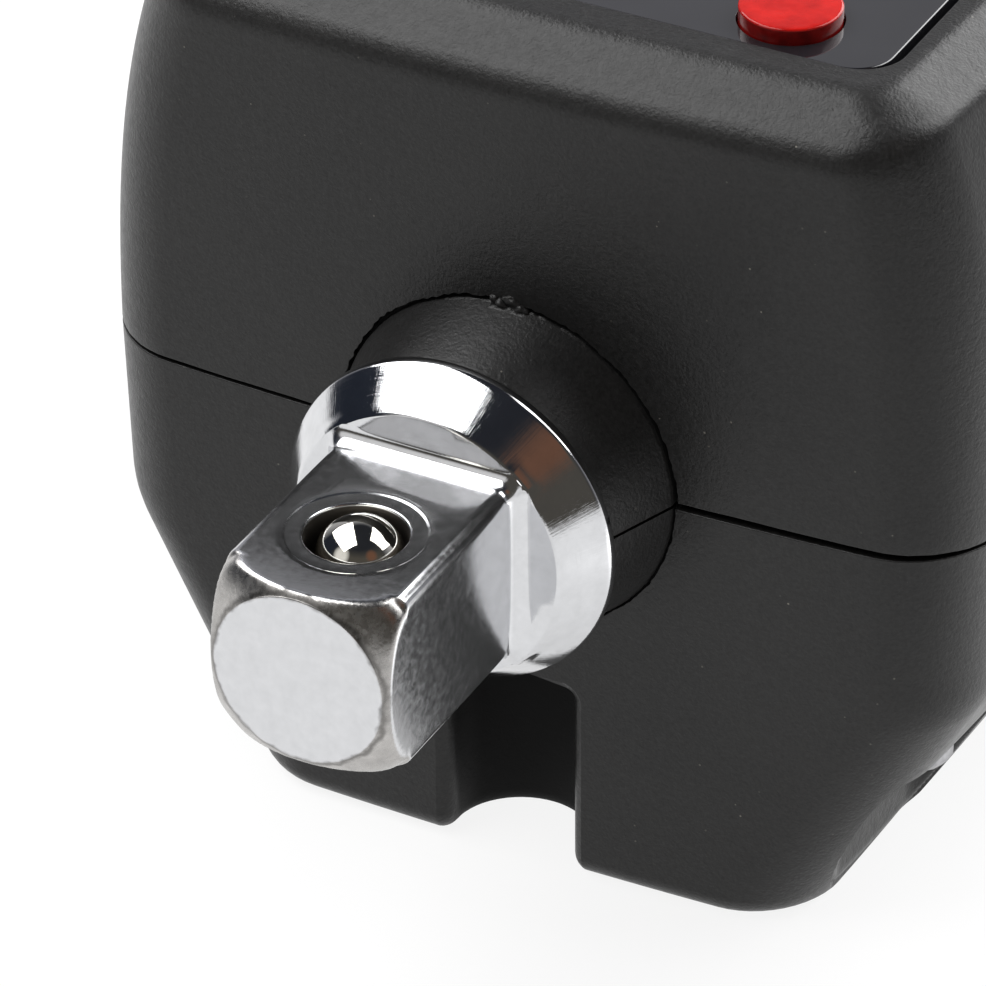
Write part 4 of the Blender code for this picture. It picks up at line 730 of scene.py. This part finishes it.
def carry_normals(shell, blank):
    """Shade the uncut parts of a shell exactly as the uncut form."""
    smooth(blank, 35, 50)
    graph = bpy.context.evaluated_depsgraph_get()
    form = blank.evaluated_get(graph).to_mesh()
    tree = BVHTree.FromPolygons([v.co for v in form.vertices], [tuple(f.vertices) for f in form.polygons])
    smooth(shell, 35, 50)
    data = bpy.data.meshes.new_from_object(shell.evaluated_get(bpy.context.evaluated_depsgraph_get()))
    normals = [n.vector.copy() for n in data.corner_normals]
    for face in data.polygons:
        for loop in face.loop_indices:
            point = data.vertices[data.loops[loop].vertex_index].co
            inward = point.lerp(face.center, 0.02)
            place, out, index, distance = tree.find_nearest(inward)
            if distance > 0.01 * MM or out.dot(face.normal) < 0.9:
                continue
            source = form.polygons[index]
            corners = [form.vertices[k].co for k in source.vertices]
            weights = poly_3d_calc(corners, point)
            blend = sum((form.corner_normals[k].vector * w for k, w in zip(source.loop_indices, weights)),
                        Vector((0, 0, 0)))
            if blend.length > 0.5:
                normals[loop] = blend.normalized()
    data.normals_split_custom_set(normals)
    shell.modifiers.clear()
    old = shell.data
    shell.data = data
    bpy.data.meshes.remove(old)
    bpy.data.objects.remove(blank, do_unlink=True)


def shell_void(upper):
    """What the CAD solid leaves empty a millimetre inside the outer form."""
    end = 20.5 if upper else BOTTOM_Z + 0.85
    start = -2.0 if upper else 2.0
    levels = [(start, 0.0)] + [lv for lv in body_levels(upper, end) if abs(lv[0]) < abs(end)]
    levels.append((end, 0.0))
    sides = side_path(upper)
    rings = [body_ring(at_height(sides, z) - 1.0, 1.0, CORNER_R - 1.0, z, 8, 6) for z, _ in levels]
    inner = loft("inner_form", rings)
    combine(inner, cad_copy("upper_housing" if upper else "lower_housing"))
    return inner


def add_nose(shell, upper):
    nose = loft("nose", turn_rings(nose_profile(), "Y", (0, 0, 0), 180, NOSE_PHASE))
    z = (PART, 40) if upper else (-40, -PART)
    combine(nose, loft("side", block((-30, 30), (0, 40), z)), "INTERSECT")
    combine(shell, nose, "UNION")


def cut_bores(shell):
    """The holes in the end walls through which the shaft passes."""
    bores = [turn_rings([(0, y0), (r, y0), (r, y1), (0, y1)], "Y", (0, 0, 0), 96)
             for r, y0, y1 in ((6.13, 14.9, 22.0), (9.33, REAR - 1.1, REAR + 1))]
    combine(shell, joined("bores", bores))


def finish_shell(shell, blank, upper):
    combine(shell, shell_void(upper))
    shell.data.materials.append(SHELL)
    carry_normals(shell, blank)
    finish_piece(shell, "upper_housing" if upper else "lower_housing", "body")


# Each button's name, X and Y.
BUTTONS = (("unit", -10.8, 29.5), ("down", -3.6, 32.7), ("up", 3.6, 32.7), ("power", 10.8, 29.5))


def circle(x, y, r, steps=64):
    return arc(x, y, r, 0, 360, steps)[:-1]


RECESS_X, RECESS_Y, RECESS_R, RECESS_FLOOR = (-17.2, 17.2), (26.2, 75.6), 2.2, 21.25


def build_upper():
    shell = shell_blank("upper_shell", True)
    blank = shell_blank("upper_form", True)
    tree = surface_tree(shell)
    add_nose(shell, True)
    combine(shell, loft("crease", crease_rings(9.09, 0.12, 0.55, 2.0), closed=True))
    add_flash(shell)
    recess = prism_rings(resample(rounded_slot(RECESS_X, RECESS_Y, RECESS_R), 1.0),
                         [RECESS_FLOOR] + spread(22.7, 23.6, 0.05))
    combine(shell, flare(loft("recess", recess), tree, 0.2))
    # Holes under the panel for the buttons, the indicator light and the display.
    through = (19, 22)
    holes = [prism_rings(circle(x, y, 2.78), through) for _, x, y in BUTTONS]
    holes.append(prism_rings(circle(0, FACE + 7.2, 1.52, 32), through))
    holes.append(prism_rings(rounded_slot((-10.42, 10.42), (39.08, 57.92), 0.8, 6), through))
    combine(shell, joined("holes", holes))
    cut_bores(shell)
    finish_shell(shell, blank, True)


NOTCH_R, NOTCH_CENTRE, NOTCH_TOP, NOTCH_ROUND = 3.4, 22.25, -13.15, 0.4


def notch_outline(r):
    """Outline of the notch in the front face, open toward the front."""
    side = [(r, y) for y in spread(FACE - 1.5, NOTCH_CENTRE, 0.12)[:-1]]
    end = arc(0, NOTCH_CENTRE, r, 0, 180, 28)
    return side + end + [(-x, y) for x, y in reversed(side)]


POCKET_R, POCKET_HALF = 2.25, 6.05


def pocket_outline(x, y):
    """Outline of a screw pocket, round at both ends."""
    reach = POCKET_HALF - POCKET_R
    points = arc(x, y - reach, POCKET_R, 180, 360, 32) + arc(x, y + reach, POCKET_R, 0, 180, 32)
    return resample(points, 0.2)


POCKETS = [(sx * 18.4, y) for sx in (-1, 1) for y in (29.5, 72.3)]


def build_lower():
    shell = shell_blank("lower_shell", False)
    blank = shell_blank("lower_form", False)
    tree = surface_tree(shell)
    add_nose(shell, False)
    combine(shell, loft("crease", crease_rings(9.06, 0.07, 0.35, 7.0), closed=True))
    levels = spread(BOTTOM_Z - 1, BOTTOM_Z + 1.3, 0.12) + spread(BOTTOM_Z + 1.6, -13.2, 0.4)
    rings = prism_rings(notch_outline(NOTCH_R), levels)
    for k in range(7):
        a = math.radians(15 * k)
        rings.append([(x, y, NOTCH_TOP + NOTCH_ROUND * math.sin(a))
                      for x, y in notch_outline(NOTCH_R - NOTCH_ROUND * (1 - math.cos(a)))])
    combine(shell, flare(loft("notch", rings), tree, 0.95))
    for x, y in POCKETS:
        cutter = loft("pocket", prism_rings(pocket_outline(x, y), spread(BOTTOM_Z - 1, -14.86, 0.2)))
        combine(shell, flare(cutter, tree, 0.3))
    # The battery door's way, its rear end and the drops for its side hooks.
    door_x, door_z = (-11.52, 11.52), (BOTTOM_Z - 1, BOTTOM_Z + 0.9)
    combine(shell, loft("door_way", block(door_x, (27.38, REAR + 1), door_z)))
    cuts = [block(door_x, (REAR - 1.5, REAR + 1), (BOTTOM_Z - 1, -22.08))]
    for at in (13.0, 28.0, 43.0):
        y = FACE + at + 6
        cuts.append(block((-12.92, 12.92), (y - 0.32, y + 5.32), door_z))
    combine(shell, joined("door_drops", cuts))
    cut_bores(shell)
    finish_shell(shell, blank, False)


# Drive shaft.

def square_points(half, edge, flat=26, bend=10):
    """Outline of the square section, counterclockwise in XZ."""
    pts = []
    for sx, sz, start in ((1, 1, 0), (-1, 1, 90), (-1, -1, 180), (1, -1, 270)):
        bends = arc(sx * (half - edge), sz * (half - edge), edge, start, start + 90, bend)
        pts += bends
        a = Vector(bends[-1])
        nx = {(1, 1): (-1, 0), (-1, 1): (0, -1), (-1, -1): (1, 0), (1, -1): (0, 1)}[(sx, sz)]
        length = 2 * (half - edge)
        for k in range(1, flat):
            pts.append((a.x + nx[0] * length * k / flat, a.y + nx[1] * length * k / flat))
    return pts


def soft_min(a, b, k):
    """The lesser of two values, blended where they differ by less than k."""
    h = max(k - abs(a - b), 0.0) / k
    return min(a, b) - h * h * k * 0.25


def ring_at(ways, y, radii):
    """A ring at y that reaches out to each radius along each way. One radius serves all ways."""
    radii = radii if isinstance(radii, list) else [radii] * len(ways)
    return [(w.x * r, y, w.y * r) for w, r in zip(ways, radii)]


def square_rings(base, ways):
    """The male square: end face, turned chamfer, square section and fillet at the flange."""
    reach = [Vector(p).length for p in base]
    corner = math.hypot(SQUARE_HALF, SQUARE_HALF - SQUARE_EDGE)
    rings = [[(0, 0, 0)]]
    for r in (0.8, 1.6, 2.4, 3.2, 3.8, 4.15, 4.3):
        rings.append(ring_at(ways, 0.0, r))
    for k in range(1, 6):
        a = math.radians(90 * k / 5)
        rings.append(ring_at(ways, TIP_Y * (1 - math.cos(a)), 4.3 + 0.2 * math.sin(a)))
    for k in range(1, 31):
        y = TIP_Y + 3.2 * (k / 30)
        t = (y - TIP_Y) / TIP_LENGTH
        tip = TIP_R + (corner - TIP_R) * t + 0.22 * math.sin(math.pi * min(t, 1.0)) * 1.9
        rings.append(ring_at(ways, y, [soft_min(r, tip, 0.15) for r in reach]))
    for y in (3.6, BALL_Y, 8.0, 10.0, 11.7):
        rings.append([(x, y, z) for x, z in base])
    fillet = 0.88
    for k in range(0, 11):
        a = math.radians(90 * k / 10)
        g = fillet * (1 - math.cos(a))
        outline = square_points(SQUARE_HALF + g, SQUARE_EDGE + g / 2)
        inner = [soft_min(math.hypot(x, z), 7.13, 0.12) / math.hypot(x, z) for x, z in outline]
        rings.append([(x * t, 11.82 + fillet * math.sin(a), z * t) for (x, z), t in zip(outline, inner)])
    return rings


def flange_rings(ways, last):
    """The flange's flat front, cone and rim, from the radii where the square ends."""
    rings = []
    for r, y in ((6.95, FLANGE_Y), (7.03, 12.71), (7.1, 12.76), (FLANGE_LIP_R, FLANGE_LIP_Y)):
        rings.append(ring_at(ways, y, [max(r, q + 0.01 + (y - FLANGE_Y)) for q in last]))
    for k in range(1, 7):
        y = FLANGE_LIP_Y + (14.91 - FLANGE_LIP_Y) * k / 6
        rings.append(ring_at(ways, y, FLANGE_LIP_R + (8.575 - FLANGE_LIP_R) * k / 6))
    lean = math.atan2(8.6 - FLANGE_LIP_R, 14.95 - FLANGE_LIP_Y)
    for k in range(1, 9):
        a = lean * (1 - k / 8)
        rings.append(ring_at(ways, 15.31 - 0.7 * math.sin(a), 8.7 - 0.7 * (1 - math.cos(a))))
    for r, y in ((8.7, 15.48), (8.66, 15.56), (8.58, 15.6)):
        rings.append(ring_at(ways, y, r))
    return rings


def well_profile():
    """The ball's hole with its staked edge and the stepped ring round it, (radius, Z)."""
    top = SQUARE_HALF
    well = [(0.0, top - 7.3), (2.5, top - 7.3), (2.5, top - 0.9), (2.45, top - 0.45), (2.5, top - 0.24)]
    for k in range(1, 6):
        a = math.radians(15 * k)
        well.append((2.52 + 0.11 * (1 - math.cos(a)), top - 0.17 + 0.11 * math.sin(a)))
    well += [(2.70, top - 0.063), (2.82, top - 0.06), (3.34, top - 0.06), (3.38, top - 0.055),
             (3.45, top - 0.018), (3.50, top - 0.009), (3.66, top - 0.002), (3.74, top + 0.02),
             (3.8, top + 0.4), (0.0, top + 0.4)]
    return well


def cut_socket(shaft):
    """The square socket in the rear end, with the dimple that holds a ball."""
    s, mouth = 4.8, 5.2
    socket = []
    for half, edge, y in ((s, 0.35, 70.1), (s, 0.35, 82.2), (mouth, 0.5, 82.62), (mouth, 0.5, 83.2)):
        socket.append([(x, y, z) for x, z in square_points(half, edge, 4, 6)])
    combine(shaft, loft("socket", socket))
    dimple = [(0.0, 0.0), (2.25, 0.0), (2.25, s + 0.9), (0.0, s + 1.3)]
    combine(shaft, turned("dimple", dimple, (0, SHAFT_END - BALL_Y, 0), 48))


def build_shaft():
    base = square_points(SQUARE_HALF, SQUARE_EDGE)
    ways = [Vector(p).normalized() for p in base]
    rings = square_rings(base, ways)
    rings += flange_rings(ways, [math.hypot(x, z) for x, y, z in rings[-1]])
    for r, y in ((5.8, 15.6), (5.8, 25.75), (5.8, 27.7), (5.0, 27.7), (5.0, 60.4), (9.0, 62.9),
                 (9.0, 81.75), (8.96, 81.86), (8.28, 82.54), (8.17, SHAFT_END), (6.8, SHAFT_END)):
        rings.append(ring_at(ways, y, r))
    rings.append([(0, SHAFT_END, 0)])
    shaft = loft("drive_shaft", rings, CHROME)
    combine(shaft, turned("well", well_profile(), (0, BALL_Y, 0), 96))
    cut_socket(shaft)
    across_flats, collar = 15, 5.0
    hexes = []
    for start in (25.2, 57.9):
        points = [(across_flats / math.sqrt(3) * math.cos(math.radians(60 * k)),
                   across_flats / math.sqrt(3) * math.sin(math.radians(60 * k))) for k in range(6)]
        hexes.append([[(x, y, z) for x, z in points] for y in (start, start + collar)])
    combine(shaft, joined("collars", hexes), "UNION")
    flats = [block((-10, 10), (35.6, 52.5), z) for z in ((4.2, 10), (-10, -4.2))]
    combine(shaft, joined("flats", flats))
    shaft.data.materials.clear()
    shaft.data.materials.append(CHROME)
    smooth(shaft, 28, 60)
    finish_piece(shaft, "torque_shaft", "body")


BALL_R, BALL_PLAY = 2.25, (0.15, 0.08, 0.0)     # the ball lies off the middle of its hole


def build_ball():
    profile = [(0.0, -BALL_R)]
    profile += [(BALL_R * math.cos(a), BALL_R * math.sin(a))
                for a in (math.radians(-90 + 180 * k / 40) for k in range(1, 40))]
    profile.append((0.0, BALL_R))
    low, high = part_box("detent_ball")
    centre = [(a + b) / 2 / MM for a, b in zip(low, high)]
    centre = [c + d for c, d in zip(centre, BALL_PLAY)]
    ball = turned("retaining_ball", profile, centre, 96, BALL)
    smooth(ball, 60)
    finish_piece(ball, "detent_ball", "detent_ball")


PANEL_LEFT, PANEL_RIGHT, PANEL_FRONT, PANEL_BACK, PANEL_R = -16.9, 16.67, 26.4, 75.4, 2.0


def build_panel():
    rings = []
    for e, z in ((0.08, 21.55), (0.0, 21.63), (0.0, 22.96), (0.008, 22.99), (0.026, 23.02), (0.055, 23.04),
                 (0.10, 23.05)):
        x_range, y_range = (PANEL_LEFT + e, PANEL_RIGHT - e), (PANEL_FRONT + e, PANEL_BACK - e)
        rings.append([(x, y, z) for x, y in rounded_slot(x_range, y_range, PANEL_R - e)])
    panel = loft("panel_plate", rings)
    holes = []
    for _, x, y in BUTTONS:
        holes.append([[(px, py, z) for px, py in circle(x, y, r, 96)]
                      for r, z in ((2.58, 21), (2.58, 23.02), (2.60, 23.045), (2.63, 23.06), (2.63, 23.5))])
    combine(panel, joined("panel_holes", holes))
    panel.data.materials.append(PANEL)
    smooth(panel, 35, 50)
    finish_piece(panel, "display_panel", "body")


def build_buttons():
    crown, edge, side = 2.38, 0.12, 2.5
    for name, x, y in BUTTONS:
        profile = [(0.0, 23.9)]
        profile += [(crown * k / 12, 23.9 - 0.05 * (k / 12) ** 2.2) for k in range(1, 13)]
        for k in range(1, 6):
            a = math.radians(18 * k)
            profile.append((crown + edge * math.sin(a), 23.85 - edge * (1 - math.cos(a))))
        profile += [(side, 23.2), (side, 22.6), (side, 19.4), (3.05, 19.4), (3.05, 18.8), (1.2, 18.8)]
        low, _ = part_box(f"{name}_button")
        profile += [(1.2, low[2] / MM), (0.0, low[2] / MM)]
        button = turned(f"{name}_key", profile, (x, y, 0), 96, RED)
        smooth(button)
        finish_piece(button, f"{name}_button", f"{name}_button")


build_upper()
build_lower()
build_shaft()
build_ball()
build_panel()
build_buttons()

# Finishes of the CAD nodes that stay as they are.

FINISHES = {
    "spring": speckled("spring_steel", (0.5, 0.5, 0.52), 0.25, 1.0, 0.3),
    "screw": speckled("screw_steel", (0.33, 0.33, 0.34), 0.35, 1.0, 0.3),
    "nickel": speckled("nickel_plate", (0.62, 0.6, 0.56), 0.25, 1.0, 0.5),
    "seal": speckled("seal_rubber", (0.015, 0.015, 0.015), 0.7, 0.0, 0.3),
    "board": speckled("board_green", (0.01, 0.1, 0.04), 0.4, 0.0, 0.5),
    "chip": speckled("chip_black", (0.02, 0.02, 0.02), 0.5, 0.0, 0.2),
    "frame": speckled("frame_grey", (0.12, 0.12, 0.12), 0.5, 0.0, 0.3),
    "lcd": speckled("lcd_grey", (0.33, 0.38, 0.3), 0.1, 0.0, 1.0, 0.0005, 0.06),
    "light_guide": speckled("light_guide", (0.8, 0.82, 0.78), 0.3, 0.0, 1.0),
    "foil": speckled("foil_amber", (0.45, 0.22, 0.04), 0.35, 0.0, 0.4),
    "cell": speckled("cell_wrap", (0.05, 0.05, 0.055), 0.3, 0.0, 1.5),
    "switch": speckled("switch_black", (0.03, 0.03, 0.03), 0.45, 0.0, 0.3),
    "shell": SHELL, "panel": PANEL, "button": RED, "chrome": CHROME, "ball": BALL,
}


# The first row that has one of its words in a node's name gives the node's finish.
FINISH_WORDS = (
    (("screw",), "screw"), (("housing", "door"), "shell"), (("display_panel",), "panel"),
    (("_button", "led"), "button"), (("torque_shaft",), "chrome"), (("detent_ball",), "ball"),
    (("spring",), "spring"), (("contact",), "nickel"), (("seal",), "seal"), (("board",), "board"),
    (("chip", "buzzer"), "chip"), (("lcd_frame",), "frame"), (("lcd_glass",), "lcd"),
    (("backlight",), "light_guide"), (("gauge",), "foil"), (("cell",), "cell"), (("switch",), "switch"),
)


def finish_of(name):
    return next(slot for words, slot in FINISH_WORDS if any(word in name for word in words))


for name, node in nodes.items():
    for slot in node.material_slots:
        slot.material = FINISHES[finish_of(name)]


# Camera, as solved from the photograph.

AZIMUTH, ELEVATION, ROLL = 27.823, 33.236, -0.458      # degrees
IMAGE, FOCAL = 986, 7323.0                             # pixels
SENSOR = 36
CAMERA_AT = (-0.616, -1.507, 354.718)       # right, up and back from the middle of the front face


def camera():
    a, e, roll = (math.radians(v) for v in (AZIMUTH, ELEVATION, ROLL))
    back = Vector((math.sin(a) * math.cos(e), -math.cos(a) * math.cos(e), math.sin(e)))
    right = Vector((math.cos(a), math.sin(a), 0))
    up = back.cross(right)
    side = right * math.cos(roll) + up * math.sin(roll)
    top = -right * math.sin(roll) + up * math.cos(roll)
    data = bpy.data.cameras.new("camera")
    data.sensor_width = SENSOR
    data.lens = SENSOR * FOCAL / IMAGE
    data.clip_start = 0.01
    data.clip_end = 20
    obj = bpy.data.objects.new("camera", data)
    bpy.context.scene.collection.objects.link(obj)
    turn = Matrix((side, top, back)).transposed().to_4x4()
    aside, above, away = CAMERA_AT
    turn.translation = (right * aside + up * above + back * away + Vector((0, FACE, 0))) * MM
    obj.matrix_world = turn
    bpy.context.scene.camera = obj


camera()


# Studio.

def softbox(name, direction, along, width, height, radiance):
    """A soft light in a direction from the object, its height along the second direction.

    Width and height are its size as seen from the object, at a distance of one.
    """
    distance = 0.6
    data = bpy.data.lights.new(name, "AREA")
    data.shape = "RECTANGLE"
    data.size = width * distance
    data.size_y = height * distance
    data.energy = radiance * math.pi * data.size * data.size_y
    obj = bpy.data.objects.new(name, data)
    bpy.context.scene.collection.objects.link(obj)
    z = Vector(direction).normalized()
    y = Vector(along)
    y = (y - z * y.dot(z)).normalized()
    turn = Matrix((y.cross(z), y, z)).transposed().to_4x4()
    turn.translation = Vector((0, 12 * MM, 0)) + z * distance
    obj.matrix_world = turn


def from_camera(right, front, up):
    """A direction given to the camera's right, toward it and up."""
    a = math.radians(AZIMUTH)
    return Vector((right * math.cos(a) + front * math.sin(a), right * math.sin(a) - front * math.cos(a), up))


softbox("left_softbox", from_camera(-0.50, -0.20, 0.84), from_camera(0.04, 0.95, 0.31), 0.70, 1.40, 5.2)
softbox("right_softbox", from_camera(0.66, -0.43, 0.61), from_camera(0.14, 0.86, 0.50), 0.74, 1.38, 5.2)

world = bpy.data.worlds.new("studio")
bpy.context.scene.world = world
world.use_nodes = True


def studio_walls(tree):
    """A dark room: grey behind the object, dim by the camera, with a brown and a white patch."""
    n = Nodes(tree)
    place = tree.nodes.new("ShaderNodeTexCoord").outputs["Generated"]
    split = tree.nodes.new("ShaderNodeSeparateXYZ")
    n.feed(place, split.inputs[0])

    def toward(direction):
        node = tree.nodes.new("ShaderNodeVectorMath")
        node.operation = "DOT_PRODUCT"
        n.feed(place, node.inputs[0])
        node.inputs[1].default_value = Vector(direction).normalized()
        return node.outputs["Value"]

    up = split.outputs["Z"]
    front = n.ramp(toward(from_camera(0, 1, 0)), ((0.0, 0.0), (0.55, 1.0)))
    room = n.mix(front, (0.020, 0.024, 0.034), (0.085, 0.079, 0.069))
    high = n.ramp(up, ((0.60, 0.0), (0.85, 1.0)))
    room = n.mix(high, room, (0.022, 0.024, 0.03))
    brown = n.ramp(toward(from_camera(0.46, 0.63, 0.62)), ((0.962, 0.0), (0.995, 1.0)))
    room = n.mix(brown, room, (0.17, 0.085, 0.055))
    fill = n.ramp(toward(from_camera(-0.72, 0.45, 0.53)), ((0.925, 0.0), (0.98, 1.0)))
    room = n.mix(fill, room, (0.85, 0.84, 0.83))
    back = n.mix(1.0, n.ramp(split.outputs["Y"], ((0.15, 0.0), (0.55, 1.0))),
                 n.ramp(up, ((0.55, 1.0), (0.80, 0.0))), "MULTIPLY")
    room = n.mix(back, room, (0.43, 0.43, 0.455))
    n.feed(room, tree.nodes["Background"].inputs[0])


studio_walls(world.node_tree)


def floor_white():
    """A plain pale floor. Out of view it glows less toward the camera and more to the right."""
    m = Material("floor_white", (0.15, 0.15, 0.15), 0.9, Emission_Color=(1.0, 1.0, 1.0, 1.0),
                 Specular_IOR_Level=0.0)
    m.paint(m.ramp(m.noise(40.0, 2.0), [(0.3, 0.115), (0.7, 0.125)]))
    east, north, _ = m.axes()

    def off(spot):
        return m.distance(m.math("SUBTRACT", east, spot[0]), m.math("SUBTRACT", north, spot[1]))

    dim_spot, bright_spot = from_camera(0.05, 1.0, 0.0) * 125, (66.0, 50.0)
    glow = m.math("ADD", m.product(m.smooth(off(dim_spot), 25.0, 85.0), 0.20), 0.68)
    extra = m.product(m.inverse(m.smooth(off(bright_spot), 18.0, 50.0)), 1.1)
    m.feed(m.math("ADD", glow, extra), m.shader.inputs["Emission Strength"])
    return m.mat


FLOOR_HALF, FLOOR_STEP = 3000, 200
rows = [-FLOOR_HALF + FLOOR_STEP * k for k in range(2 * FLOOR_HALF // FLOOR_STEP + 1)]
sheet = [[(-FLOOR_HALF, y, 0), (FLOOR_HALF, y, 0)] for y in rows]
floor = mesh_from("floor", strip(bmesh.new(), sheet), floor_white())
floor.location.z = FLOOR_Z

bpy.context.scene.view_settings.view_transform = "Standard"
